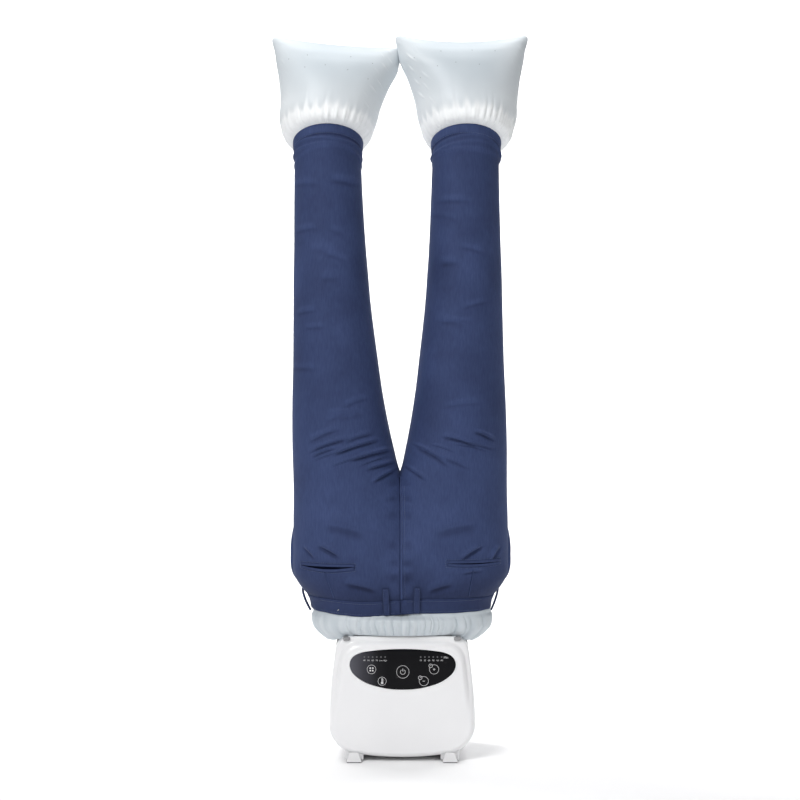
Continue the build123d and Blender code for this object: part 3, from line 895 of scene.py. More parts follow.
# Front: slanted side pockets and the fly.
for side in (-1, 1):
    mouth = ((side * 0.112, 0.336), (side * 0.176, 0.462))
    # A dark strip of painted shadow lies along each pocket's mouth.
    slit_shadows.append(strip_mesh(*run(*mouth, 40, 0.0, 1), 0.0020, 0.0006))
    welts.append(strip_mesh(*run(*beside(mouth, side * -0.0026), 40, 0.0001, 1), 0.0046, 0.0017))
    for gap in (0.0040, 0.0085):
        pocket_runs.append(run(*beside(mouth, -side * gap), 40, 0.0008, 1))
# The fly's stitches run straight up to FLY_Z, then in a quarter of an ellipse to the middle.
FLY_X, FLY_Z, FLY_RISE = 0.036, 0.478, 0.050
SEAM_LOW = 0.337
turn = np.linspace(0, math.pi / 2, 30)
fly_x = np.concatenate([np.full(len(turn), FLY_X), FLY_X * np.cos(turn[1:])])
fly_z = np.concatenate([np.linspace(SEAM_LOW, FLY_Z, len(turn)), FLY_Z + FLY_RISE * np.sin(turn[1:])])
for gap in (0.0, 0.0040):
    pocket_runs.append(surface(np.maximum(fly_x - gap, 0.0), fly_z - gap * (fly_x < FLY_X), 1, ON_TOP))
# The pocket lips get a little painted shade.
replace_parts(cloth_part("pocket_lips", welts, M_TWILL, 0.18), "pocket_welts")
cloth_part("pocket_slit_shadows", slit_shadows, M_SLIT_SHADOW)

# Seams: centre back and front, waistband, hems, darts.
runs = loop_runs + pocket_runs
for facing in (-1, 1):
    for x in (0.0035, 0.0085):
        runs.append(run((x, SEAM_LOW), (x, 0.560), 90, STITCH_LIFT, facing))
for facing in (-1, 1):
    for start, end in ((-0.165, -0.012), (0.012, 0.165)):
        for z in (WAIST_SEAM_Z - 0.003, WAIST_Z + 0.0035):
            runs.append(run((start, z), (end, z), 60, STITCH_LIFT, facing))
cloth_part("seat_stitching", [stitch_mesh(runs)], M_STITCH)

hem_runs = []
for side in (-1, 1):
    angles = np.linspace(0, 2 * math.pi, 160)
    centre, x, y, z = leg_loop(angles, lambda y: hem_height(y) - HEM_BAND)
    x = side * (centre + x)
    normal = points_at(side * np.cos(angles), -np.sin(angles), 0.0)
    path = points_at(x, y, z) + normal * (cloth_lift(x, y, z) + STITCH_LIFT)[:, None]
    path[:, 0] += lean_x(z)
    hem_runs.append((path, normal))
cloth_part("hem_stitching", [stitch_mesh(hem_runs)], M_STITCH)

# Seams as a raised ridge with a dark strip beside it, a painted shadow of its crease; darts, the centre seam
# and the waistband's edge.
SUNK = -0.0002
SEAM_X = 0.0014
ridges, creases = [], []
for dart in (((-0.155, 0.386), (-0.1375, 0.336)), ((0.149, 0.392), (0.1395, 0.336))):
    ridges.append(strip_mesh(*run(*dart, 24, SUNK), 0.0016, 0.0011))
    creases.append(strip_mesh(*run(*beside(dart, -0.0012), 24, SUNK), 0.0008, 0.0004))
for facing in (-1, 1):
    ridges.append(strip_mesh(*run((SEAM_X, 0.334), (SEAM_X, 0.578), 90, SUNK, facing), 0.0044, 0.0017))
    for low, high, count, width in ((0.334, 0.578, 90, 0.0013), (0.3065, 0.3300, 14, 0.0011)):
        creases.append(strip_mesh(*run((-SEAM_X, low), (-SEAM_X, high), count, 0.0, facing), width, 0.0005))
for facing in (-1, 1):
    z = WAIST_SEAM_Z + 0.0012
    creases.append(strip_mesh(*run((-0.170, z), (0.170, z), 120, SUNK, facing), 0.0010, 0.0005))
tack = strip_mesh(*run((-0.1285, 0.3115), (-0.1262, 0.3140), 8, 0.0012), 0.0018, 0.0010)
cloth_part("thread_tack", [tack], M_TACK)
cloth_part("seam_crease_shadows", creases, M_CREASE_SHADOW)
cloth_part("seam_ridges", ridges, M_TWILL)


# ------------------------------------------------------------------ bag
# Height above the hem, half width, half depth and centre offset of one inflated end.
END = np.array(
    [
        (0.000, 0.0715, 0.0715, 0.1455),
        (0.012, 0.0860, 0.0860, 0.1465),
        (0.040, 0.0985, 0.0920, 0.1465),
        (0.088, 0.1045, 0.0870, 0.1420),
        (0.138, 0.1150, 0.0745, 0.1360),
        (0.175, 0.1265, 0.0590, 0.1310),
        (0.200, 0.1305, 0.0420, 0.1305),
        (0.216, 0.1345, 0.0240, 0.1305),
        (0.2228, 0.1358, 0.0120, 0.1305),
        (0.2255, 0.1360, 0.0026, 0.1305),
    ]
)
END_HEIGHT = END[-1, 0]
EAR_Z = 1.5030
EAR_ROUND = 0.0095
# How far the hem sags at the inner and outer side of each end, and how much wider each end is than END.
LIP_DROP = {-1: (0.0000, 0.0015), 1: (0.0000, 0.0060)}
WIDER = {-1: 0.0012, 1: 0.0030}
# Rows of points: LOW_ROWS of them in the lowest LOW_SHARE, where the gathers are.
END_ROWS = 150
LOW_ROWS, LOW_SHARE = 40, 0.10
END_COLUMNS = 420
# The height of the hem's lip, the number and depth of the gathers, and the number of their white tips.
LIP_HEIGHT = 0.034
GATHERS, GATHER_DEPTH = 31, 0.0034
FINE_GATHERS, FINE_DEPTH = 58, 0.0016
WHITE_TIPS = 44
# The puckers' depth and spacing, and the cosine and sine of their slope.
PUCKER_DEPTH, PUCKER_PITCH = 0.0016, 0.0120
PUCKER_SLOPE = (0.80, 0.60)
# How far the right end's top leans towards the user, and the left end's away.
TOP_TWIST = 0.006


def pleats(at, seed, count, sharp=0.6):
    """Round puffs with sharp creases between them, unevenly spaced, from 0 to 1 around a loop."""
    draw = np.random.default_rng(seed)
    sway = sum(draw.uniform(0.2, 0.9) * np.sin(k * at + draw.uniform(0, 6.3)) for k in range(2, 9))
    return np.abs(np.sin(0.5 * (count * at + 1.3 * sway))) ** sharp


def loop_noise(at, seed, low, high):
    """A smooth random line around a loop, whose ends meet."""
    draw = np.random.default_rng(seed)
    speeds = draw.integers(low, high, 6)
    strengths = draw.uniform(0.4, 1.0, 6)
    return sines(at, speeds, draw.uniform(0, 2 * math.pi, 6), strengths)


def top_seam(side, u):
    """Height of the top seam; its ends are rounded off."""
    corner = np.clip((np.abs(u) - 0.910) / 0.090, 0, 1)
    rounding = EAR_ROUND * (1 - np.sqrt(1 - corner**2))
    if side > 0:
        return EAR_Z - 0.0160 * (1 - u**2) - rounding
    return EAR_Z - 0.0250 * (1 - ((1 - u) / 2) ** 2.2) - rounding


def bag_end(side, seed):
    """One inflated end, from inside the cuff up to the top seam: its piece and its points."""
    angles = round_angles(END_COLUMNS)
    u, v = np.cos(angles), np.sin(angles)
    inner, outer = np.clip(-side * u, 0, 1), np.clip(side * u, 0, 1)
    rows = []
    for drop in (-0.040, -0.020, -0.004):
        centre, x, y, z = leg_loop(angles, lambda y: hem_height(y) + drop, AIR_GAP)
        rows.append(points_at(side * centre + x, y, z))
    amounts = [np.zeros(END_COLUMNS)] * len(rows)
    reach = 0.030 + 0.014 * v**2 + 0.012 * loop_noise(angles, seed, 14, 40)
    reach = reach + 0.006 * loop_noise(angles, seed + 1, 4, 9)
    gather = pleats(angles, seed + 2, GATHERS, 0.8)
    fine = pleats(angles, seed + 3, FINE_GATHERS, 0.9)
    split = pleats(angles, seed + 5, WHITE_TIPS, 0.35)
    upper = np.linspace(LOW_SHARE, 1.0, END_ROWS - LOW_ROWS + 1)[1:]
    for share in np.concatenate([np.linspace(0, LOW_SHARE, LOW_ROWS), upper]):
        h = share * END_HEIGHT
        width, depth, centre = (follow(END[:, 0], END[:, k], h) for k in (1, 2, 3))
        width = width + WIDER[side] * ramp(h, 0.02, 0.07)
        x = side * centre + width * u
        y = -depth * v
        low, high = hem_height(-END[0, 2] * v), top_seam(side, u)
        z = low + (high - low) * share
        lip = np.sin(math.pi * np.clip(h / LIP_HEIGHT, 0, 1) ** 0.8) ** 1.2
        z = z - lip * (LIP_DROP[side][0] * inner**1.6 + LIP_DROP[side][1] * outer**1.6)
        # Gathers rise from the hem and are white up to their uneven tips: partly the stacked layers, partly a
        # painted highlight.
        tall = peak(h, reach) * ramp(h, 0.0, 0.006)
        lift = tall * (GATHER_DEPTH * (gather - 0.6) + FINE_DEPTH * (fine - 0.6))
        white = np.exp(-((h / (reach + 0.004)) ** 5)) * (0.62 + 0.38 * split)
        # Steep puckers, in patches, run down to the side edges.
        slant = 2 * math.pi * (PUCKER_SLOPE[0] * x + PUCKER_SLOPE[1] * z)
        along = 2 * math.pi * (PUCKER_SLOPE[0] * z - PUCKER_SLOPE[1] * x)
        pucker = np.sin(slant / PUCKER_PITCH + 2.2 * np.sin(slant / 0.047 + seed))
        patches = np.sin(along / 0.052 + slant / 0.019 + seed)
        pucker = np.maximum(pucker, 0) ** 3 * np.maximum(patches, 0) ** 2
        zone = ramp(h, 0.03, 0.07) * ramp(h, END_HEIGHT, END_HEIGHT - 0.02)
        edge = ramp(inner, 0.60, 0.86) * ramp(inner, 1.01, 0.97) + 0.4 * ramp(outer, 0.76, 0.94)
        lift = lift + PUCKER_DEPTH * zone * edge * (pucker - 0.2)
        lift = lift + 0.0005 * zone * loop_noise(angles, seed + 4, 2, 5) * np.sin(28.0 * h + seed)
        lift = lift * (1 - ramp(h, END_HEIGHT - 0.016, END_HEIGHT))
        # Painted light: paler low down, where the cloth turns to face down, and towards the sides; the
        # puckers' crests get a painted highlight.
        painted_light = 0.34 * ramp(h, 0.150, 0.030) + 0.22 * ramp(np.abs(u), 0.35, 0.95)
        amounts.append(white + painted_light + 0.30 * zone * edge * pucker)
        size = np.hypot(u / width, v / depth)
        x = x + u / width / size * lift
        y = y - v / depth / size * lift - side * TOP_TWIST * ramp(h, 0.08, END_HEIGHT)
        rows.append(points_at(x, y, z))
    points = np.concatenate(rows)
    faces = grid_faces(len(rows), END_COLUMNS, flip=True)
    # The top seam closes the end.
    last = (len(rows) - 1) * END_COLUMNS
    for k in range(END_COLUMNS // 2):
        a, b = last + k, last + k + 1
        c, d = last + (END_COLUMNS - k - 1) % END_COLUMNS, last + (END_COLUMNS - k) % END_COLUMNS
        faces.append([i for n, i in enumerate((a, b, c, d)) if i not in (a, b, c, d)[:n]])
    points[:, 0] += lean_x(points[:, 2])
    name = "bag_end_right" if side > 0 else "bag_end_left"
    piece = mesh_object(name, points, faces, M_SATIN, BAG, "bag_white")
    mark(piece, np.clip(np.concatenate(amounts), 0, 1))
    return piece, points


end_left, left_points = bag_end(-1, 31)
end_right, right_points = bag_end(1, 47)
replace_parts(end_left, "bag_leg_left")
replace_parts(end_right, "bag_leg_right")


# The collar: lobed where it leaves the waistband, oval where it bulges, round at the ring.
# Side and front profiles as (reach, height); the last rows lie under the bulge.
COLLAR_SIDE = [
    (0.1850, 0.300),
    (0.1890, 0.292),
    (0.1890, 0.284),
    (0.1880, 0.276),
    (0.1850, 0.267),
    (0.1790, 0.2590),
    (0.1660, 0.2475),
    (0.1520, 0.2405),
    (0.1370, 0.2495),
    (0.1250, 0.2590),
    (0.1000, 0.2660),
    (0.0760, 0.2680),
]
COLLAR_FRONT = [
    (0.0870, 0.300),
    (0.0935, 0.292),
    (0.0955, 0.284),
    (0.0952, 0.276),
    (0.0930, 0.2690),
    (0.0898, 0.2625),
    (0.0872, 0.2585),
    (0.0855, 0.2566),
    (0.0842, 0.2572),
    (0.0820, 0.2612),
    (0.0785, 0.2650),
    (0.0757, 0.2670),
]
COLLAR_COLUMNS = 900
PER_STEP = 6
# How many ribs, smaller ribs and grooves there are around the collar, and a groove's width as an angle.
RIBS, SMALL_RIBS = 40, 74
GROOVES, GROOVE_WIDTH = 34, 0.0085


def lobed_reach(angles, z, inset):
    """Distance from the middle to the two-lobed outline, along each ray."""
    centre, width, depth = leg_shape(z)
    width, depth = width - inset, depth - inset
    best = 0.0
    for offset in (-centre, centre):
        a = (np.cos(angles) / width) ** 2 + (np.sin(angles) / depth) ** 2
        b = -2 * offset * np.cos(angles) / width**2
        c = (offset / width) ** 2 - 1
        best = np.maximum(best, (-b + np.sqrt(np.maximum(b * b - 4 * a * c, 0))) / (2 * a))
    return best


def oval_reach(angles, wide, deep, power):
    across, ahead = np.abs(np.cos(angles)) / wide, np.abs(np.sin(angles)) / deep
    return (across**power + ahead**power) ** (-1 / power)


def collar():
    """Points, faces and painted highlights of the ribbed collar, from inside the waistband down to the ring.
    """
    angles = round_angles(COLLAR_COLUMNS)
    u, v = np.cos(angles), np.sin(angles)
    knots = np.arange(len(COLLAR_SIDE))
    side, front = np.array(COLLAR_SIDE), np.array(COLLAR_FRONT)
    puff = pleats(angles, 5, RIBS, 0.55)
    small = pleats(angles, 8, SMALL_RIBS, 0.7)
    shine = np.maximum(0, loop_noise(angles, 12, 18, 60)) ** 0.7
    draw = np.random.default_rng(17)
    grooves = [
        (draw.uniform(0, 2 * math.pi), draw.uniform(-0.05, 0.05), draw.uniform(0.0014, 0.0028))
        for number in range(GROOVES)
    ]
    rows = []
    for z, inset in ((0.330, 0.0045), (0.316, 0.004), (0.307, 0.0035)):
        reach = lobed_reach(angles, z, inset)
        rows.append(points_at(reach * u, reach * v, z))
    amounts = [np.zeros(COLLAR_COLUMNS)] * len(rows)
    lobed = lobed_reach(angles, WAIST_Z, 0.001)
    for t in np.linspace(0, knots[-1], knots[-1] * PER_STEP + 1):
        wide, low = (follow(knots, side[:, k], t) for k in (0, 1))
        deep, high = (follow(knots, front[:, k], t) for k in (0, 1))
        oval = oval_reach(angles, wide, deep, 2.0 + 0.25 * math.sin(math.pi * t / knots[-1]))
        share = ramp(t, 0.0, 1.6)
        reach = lobed * (1 - share) + oval * share
        sideways = np.abs(reach * u) / wide
        z = high + (low - high) * ramp(sideways, 0.60, 0.98)
        strong = 0.0016 + 0.0026 * ramp(t, 1.0, 6.5) - 0.0026 * ramp(t, 8.0, 11.0)
        lift = strong * (puff - 0.62) + 0.0010 * ramp(t, 0.4, 3) * (small - 0.62)
        # Painted highlights on the puffs' crests and in random bright patches.
        bright = 0.22 * shine * ramp(t, 0.5, 3.0) * ramp(t, 8.0, 5.0)
        amounts.append(0.16 * (puff - 0.45) * ramp(t, 0.0, 1.0) + bright)
        for place, slant, deepness in grooves:
            off = (angles - place - slant * t / 6 + math.pi) % (2 * math.pi) - math.pi
            lift = lift - deepness * peak(off, GROOVE_WIDTH) * ramp(t, 0.3, 1.5)
        lift = lift + 0.0012 * loop_noise(angles + 0.05 * t, 9, 4, 12)
        lift = lift * ramp(t, -0.5, 1.0) * ramp(t, 11.0, 10.0)
        under = ramp(t, 4.5, 7.5)
        reach = reach + lift * (1 - 0.8 * under)
        z = z - lift * under * ramp(t, 9.0, 7.5) * ramp(sideways, 0.5, 0.8)
        rows.append(points_at(reach * u, reach * v, z))
    return np.concatenate(rows), grid_faces(len(rows), COLLAR_COLUMNS), np.concatenate(amounts)


INNER_ROWS, INNER_COLUMNS = 90, 96
INNER_LOW = 0.322


def inner_height(share, y):
    return INNER_LOW + share * (hem_height(y) - 0.010 - INNER_LOW)


# The bag inside the trousers, joined with the collar.
inner_grid = half_grid(INNER_COLUMNS, even_rows(INNER_ROWS), inner_height, DEEP_GAP)
inner_points, inner_faces = clipped_pair(inner_grid, grid_faces(INNER_ROWS, INNER_COLUMNS, flip=True))[:2]
inner_points[:, 0] += lean_x(inner_points[:, 2])
*collar_mesh, collar_amounts = collar()
both = join_meshes([collar_mesh, (inner_points, inner_faces)])
bag_lower = mesh_object("bag_lower", *both, M_SATIN, BAG, "bag_white")
mark(bag_lower, np.clip(np.concatenate([collar_amounts, np.zeros(len(inner_points))]), 0, 1))
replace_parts(bag_lower, "bag_seat")

# Pinhole vents in the bag ends, front and back, as small dots near these (x, z).
LEFT_VENTS = [
    (-0.235, 1.445),
    (-0.195, 1.452),
    (-0.105, 1.447),
    (-0.157, 1.428),
    (-0.200, 1.424),
    (-0.112, 1.417),
    (-0.070, 1.400),
    (-0.062, 1.434),
]
RIGHT_VENTS = [
    (0.025, 1.446),
    (0.080, 1.459),
    (0.145, 1.460),
    (0.192, 1.460),
    (0.110, 1.432),
    (0.158, 1.428),
    (0.072, 1.425),
    (0.038, 1.405),
]
VENT_RADIUS = 0.0008
VENT_SIDES = 10


def vent(near, facing):
    """A low cone on the surface, facing along Y."""
    spins = round_angles(VENT_SIDES)
    ring = near + points_at(VENT_RADIUS * np.cos(spins), facing * 0.0004, VENT_RADIUS * np.sin(spins))
    tip = near + (0, facing * 0.0005, 0)
    faces = [(VENT_SIDES, turn, (turn + 1) % VENT_SIDES) for turn in range(VENT_SIDES)]
    return [*ring, tip], faces


dots = []
for points, spots in ((left_points, LEFT_VENTS), (right_points, RIGHT_VENTS)):
    for facing in (-1, 1):
        one_side = points[points[:, 1] * facing > 0.0]
        for x, z in spots:
            near = one_side[np.argmin((one_side[:, 0] - x) ** 2 + (one_side[:, 2] - z) ** 2)]
            dots.append(vent(near, facing))
vents = mesh_object("bag_vents", *join_meshes(dots), M_VENT, BAG, "bag_white")


# ------------------------------------------------------------------ base unit
# The cover's wall runs from COVER_BACK_Y to COVER_WALL_Y and narrows by DRAFT; its face bulges at FACE_Y.
COVER_BACK_Y = -0.0300
COVER_WALL_Y = -0.0750
FACE_Y = -0.0932
BULGE = 0.0022
DRAFT = 0.012
WALL_INSET = 0.0008
# The outline: heights, radii of the bowed top and bottom, corner radii, and (x, z) points of a side.
MIDDLE_Z = 0.130
TOP_Z, BOTTOM_Z = 0.258, 0.0060
TOP_BOW, BOTTOM_BOW = 1.477, 0.600
TOP_ROUND, BOTTOM_ROUND = 0.024, 0.050
SIDE_KNOTS = np.array([(0.1515, 0.055), (0.1480, 0.140), (0.1335, 0.252)])
SIDE_CURVE = np.polyfit(SIDE_KNOTS[:, 1], SIDE_KNOTS[:, 0], 2)
# The round hole in the top, for the air outlet.
OUTLET_RADIUS = 0.0635
OUTLET_Z = 0.24
COVER_THICK = 0.0020
FACE_STEPS = 26


def inside_distance(x, z, top_round, bottom_round):
    """Signed distance to the base unit's outline, negative inside."""
    sideways = np.abs(x) - np.polyval(SIDE_CURVE, z)
    distances = []
    for over, radius in (
        (z - (TOP_Z - x**2 / (2 * TOP_BOW)), top_round),
        ((BOTTOM_Z + x**2 / (2 * BOTTOM_BOW)) - z, bottom_round),
    ):
        a, b = sideways + radius, over + radius
        corner = np.hypot(np.maximum(a, 0), np.maximum(b, 0))
        distances.append(np.minimum(np.maximum(a, b), 0) + corner - radius)
    return np.maximum(*distances)


def outline_reach(angles, inset):
    """Distance along rays from the middle to the outline moved in by inset."""
    low, high = np.zeros_like(angles), np.full_like(angles, 0.25)
    for step in range(30):
        middle = (low + high) / 2
        x, z = middle * np.cos(angles), MIDDLE_Z + middle * np.sin(angles)
        over = inside_distance(x, z, TOP_ROUND + 1.7 * inset, BOTTOM_ROUND + 0.5 * inset) > -inset
        high = np.where(over, middle, high)
        low = np.where(over, low, middle)
    return (low + high) / 2


COVER_COLUMNS = 480
COVER_ANGLES = round_angles(COVER_COLUMNS)
# Inset and depth across the upper edge of the cover: rounded edge, shoulder, crease, raised face.
UPPER_EDGE = np.array(
    [
        (0.0, -0.0750),
        (0.0004, -0.0768),
        (0.0015, -0.0788),
        (0.0032, -0.0800),
        (0.0050, -0.0807),
        (0.0078, -0.0813),
        (0.0098, -0.0817),
        (0.0112, -0.0836),
        (0.0130, -0.0868),
        (0.0155, -0.0902),
        (0.0180, -0.0923),
        (0.0200, FACE_Y),
    ]
)
LOWER_ROLL, LOWER_DROP = 0.0120, 0.0182


def edge_y(d, z):
    """Depth of the cover at an inset: stepped at the top, one large rounding at the bottom."""
    t = np.clip(1 - d / LOWER_ROLL, 0, 1)
    rolled = FACE_Y + LOWER_DROP * (1 - np.sqrt(1 - t**2))
    upper = ramp(z, 0.085, 0.185)
    return np.interp(d, *UPPER_EDGE.T) * upper + rolled * (1 - upper)


# Insets of the rows of points across the cover's edge.
COVER_INSETS = [0, 0.0002, 0.0006, 0.0012, 0.0020, 0.0032, 0.0045, 0.0060, 0.0078, 0.0092, 0.0100]
COVER_INSETS += [0.0106, 0.0112, 0.0121, 0.0132, 0.0145, 0.0158, 0.0170, 0.0182, 0.0192, 0.0200]
COVER_INSETS += [0.0215, 0.0235, 0.0250]


def front_reach(inset):
    """Distance from the middle to a row of points at the cover's front."""
    return outline_reach(COVER_ANGLES, inset) - WALL_INSET - DRAFT * (COVER_BACK_Y - COVER_WALL_Y)


INNER_REACH = front_reach(COVER_INSETS[-1])


def cover_loop(reach):
    return reach * np.cos(COVER_ANGLES), MIDDLE_Z + reach * np.sin(COVER_ANGLES)


def face_y(x, z):
    """Depth of the cover's raised face."""
    x, z = np.asarray(x, float), np.asarray(z, float) - MIDDLE_Z
    angle = np.arctan2(z, x) % (2 * math.pi)
    reach = np.interp(angle, np.append(COVER_ANGLES, 2 * math.pi), np.append(INNER_REACH, INNER_REACH[0]))
    share = np.clip(np.hypot(x, z) / reach, 0, 1)
    return FACE_Y - BULGE * (1 - share**2)


def cover():
    """Points and faces of the cover: its wall, its edge and its face, without the outlet's hole."""
    rows = []
    edge = outline_reach(COVER_ANGLES, 0.0)
    for y in (COVER_BACK_Y, COVER_BACK_Y - 0.0006, -0.040, -0.052, -0.064, -0.071):
        inset = 0.0014 if y == COVER_BACK_Y else WALL_INSET
        x, z = cover_loop(edge - inset - DRAFT * (COVER_BACK_Y - y))
        rows.append(points_at(x, y, z))
    for d in COVER_INSETS:
        x, z = cover_loop(front_reach(d))
        rows.append(points_at(x, edge_y(d, z), z))
    for k in np.linspace(1, 0, FACE_STEPS)[1:-1]:
        x, z = cover_loop(INNER_REACH * k)
        rows.append(points_at(x, face_y(x, z), z))
    points = np.concatenate([*rows, [(0, FACE_Y - BULGE, MIDDLE_Z)]])
    kept = []
    for face in capped_faces(len(rows), COVER_COLUMNS):
        x, y, z = points[list(face)].mean(axis=0)
        if z <= OUTLET_Z or math.hypot(x, y) >= OUTLET_RADIUS:
            kept.append(face)
    return points, kept


cover_piece = mesh_object("front_cover_shell", *cover(), M_COVER, ROOT, "white_cover")
thicken(cover_piece, COVER_THICK)
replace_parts(cover_piece, "front_cover")

# The finger pads: rings of a superellipse, as depth and share of the full size, from back to front.
PAD_X, PAD_Z = 0.1135, 0.2494
PAD_HALF_WIDTH, PAD_HALF_HEIGHT = 0.0074, 0.0034
PAD_RINGS = [(-0.034, 0.92), (-0.060, 1.0), (-0.0815, 1.0), (-0.0832, 0.96), (-0.0842, 0.86), (-0.0846, 0.4)]
PAD_COLUMNS = 40


def finger_pad(side):
    """Rounded tab at the front of a catch."""
    spins = round_angles(PAD_COLUMNS)
    u, v = (np.sign(part) * np.abs(part) ** 0.5 for part in (np.cos(spins), np.sin(spins)))
    rows = []
    for y, grow in PAD_RINGS:
        x, z = side * PAD_X + grow * PAD_HALF_WIDTH * u, PAD_Z + grow * PAD_HALF_HEIGHT * v
        rows.append(points_at(x, y, z))
    points = np.concatenate(rows)
    front = tuple(range(len(points) - PAD_COLUMNS, len(points)))
    return points, [*grid_faces(len(rows), PAD_COLUMNS), front]


for side, name in ((-1, "catch_left"), (1, "catch_right")):
    mesh_object(name + "_pad", *finger_pad(side), M_CATCH, name, "catch_grey")


# Right half of the touch panel's outline, (x, z), from the top middle to the bottom middle.
LENS_SIDE = np.array(
    [
        (0.0000, 0.2294),
        (0.0300, 0.2286),
        (0.0620, 0.2258),
        (0.0880, 0.2208),
        (0.1010, 0.2132),
        (0.1066, 0.1990),
        (0.1020, 0.1845),
        (0.0850, 0.1692),
        (0.0440, 0.1540),
        (0.0000, 0.1496),
    ]
)


LENS_POINTS = 480
LENS_STEPS = 22
# The eased outline shrinks a little, so it is scaled and moved back to the photo's size and place.
LENS_SCALE = (1.019, 1.032)
LENS_SHIFT = (0.0013, 0.0002)
# How many points on either side the easing takes in, and how fast their weights fall.
EASE_REACH, EASE_WIDTH = 12, 6.0
LENS_MIDDLE = np.array([0.0, 0.192])


def lens_outline():
    """The panel's outline in (x, z), closed, evenly spaced and eased."""
    left = LENS_SIDE[::-1][1:-1] * (-1, 1)
    closed = np.concatenate([LENS_SIDE, left, LENS_SIDE[:1]])
    steps = np.concatenate([[0], np.cumsum(np.hypot(*np.diff(closed, axis=0).T))])
    wrapped = np.concatenate([closed[-3:-1], closed, closed[1:3]])
    span = steps[-1]
    knots = np.concatenate([steps[-3:-1] - span, steps, steps[1:3] + span])
    at = np.linspace(0, span, LENS_POINTS, endpoint=False)
    even = np.stack([follow(knots, wrapped[:, k], at) for k in range(2)], axis=1)
    shifts = np.arange(-EASE_REACH, EASE_REACH + 1)
    weights = peak(shifts, EASE_WIDTH)
    weights /= weights.sum()
    eased = sum(w * np.roll(even, shift, axis=0) for w, shift in zip(weights, shifts))
    middle = eased.mean(axis=0)
    return middle + (eased - middle) * LENS_SCALE + LENS_SHIFT


LENS = lens_outline()


def on_face(flat, forward):
    """Points in front of the cover's face, from their (x, z)."""
    x, z = np.asarray(flat, float).T
    return points_at(x, face_y(x, z) - forward, z)


def lens_ring(grow):
    """The lens outline moved out by grow."""
    ahead = np.roll(LENS, -1, axis=0) - np.roll(LENS, 1, axis=0)
    out = np.stack([-ahead[:, 1], ahead[:, 0]], axis=1)
    out /= np.linalg.norm(out, axis=1)[:, None]
    return LENS + out * grow


def lens_rows(steps):
    return [on_face(lens_ring(grow), forward) for grow, forward in steps]


# How far out and how far forward the panel's edge and its rim run.
PANEL_FLAT = (-0.0014, 0.0009)
PANEL_EDGE = [(0.0, -0.0010), (0.0, 0.0003), (-0.0003, 0.0006), (-0.0008, 0.0008), PANEL_FLAT]
RIM = [(0.0002, -0.0008), (0.0002, 0.0005), (0.0006, 0.0010), (0.0012, 0.0011), (0.0020, 0.0009)]
RIM += [(0.0032, 0.0004), (0.0046, -0.0002)]

panel_rows = lens_rows(PANEL_EDGE)
inner_ring = lens_ring(PANEL_FLAT[0])
for k in np.linspace(1, 0, LENS_STEPS)[1:-1]:
    panel_rows.append(on_face(LENS_MIDDLE + (inner_ring - LENS_MIDDLE) * k, PANEL_FLAT[1]))
panel_points = np.concatenate([*panel_rows, on_face([LENS_MIDDLE], PANEL_FLAT[1])])
panel_faces = capped_faces(len(panel_rows), LENS_POINTS, flip=True)
panel = mesh_object("touch_panel", panel_points, panel_faces, M_PANEL, ROOT, "panel_black")
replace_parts(panel, "control_panel")
rim_faces = grid_faces(len(RIM), LENS_POINTS)
mesh_object("panel_rim", np.concatenate(lens_rows(RIM)), rim_faces, M_COVER, ROOT, "white_cover")

# Generic marks on the panel: rings, pictograms and number scales.
MARK_LIFT = 0.00115
ARC_POINTS, DISC_POINTS = 64, 20
marks, leds = [], []


def arc_mark(x, z, radius, width, start=0, end=360):
    closed = end - start >= 360
    spins = np.radians(np.linspace(start, end, ARC_POINTS, endpoint=not closed))
    rings = [
        np.stack([x + r * np.cos(spins), z + r * np.sin(spins)], axis=1)
        for r in (radius - width / 2, radius + width / 2)
    ]
    marks.append((on_face(np.concatenate(rings), MARK_LIFT), grid_faces(2, ARC_POINTS, closed=closed)))


def bar_mark(x, z, start, end, width):
    """A bar between two places, given from (x, z)."""
    start, end = np.array(start) + (x, z), np.array(end) + (x, z)
    ahead = (end - start) / np.linalg.norm(end - start)
    side = np.array([-ahead[1], ahead[0]]) * width / 2
    marks.append((on_face([start + side, end + side, end - side, start - side], MARK_LIFT), [(0, 1, 2, 3)]))


def disc(x, z, radius, into):
    spins = round_angles(DISC_POINTS)
    flat = np.stack([x + radius * np.cos(spins), z + radius * np.sin(spins)], axis=1)
    into.append((on_face(flat, MARK_LIFT), [tuple(range(DISC_POINTS))]))


def word(text, x, z, size):
    letters = bpy.data.curves.new(text, "FONT")
    letters.body = text
    letters.size = size
    letters.align_x = "CENTER"
    holder = linked(text, letters)
    bpy.context.view_layer.update()
    flat = holder.to_mesh()
    points = np.array([v.co[:2] for v in flat.vertices])
    faces = [tuple(p.vertices) for p in flat.polygons]
    holder.to_mesh_clear()
    bpy.data.objects.remove(holder)
    bpy.data.curves.remove(letters)
    marks.append((on_face(points + (x, z), MARK_LIFT), faces))


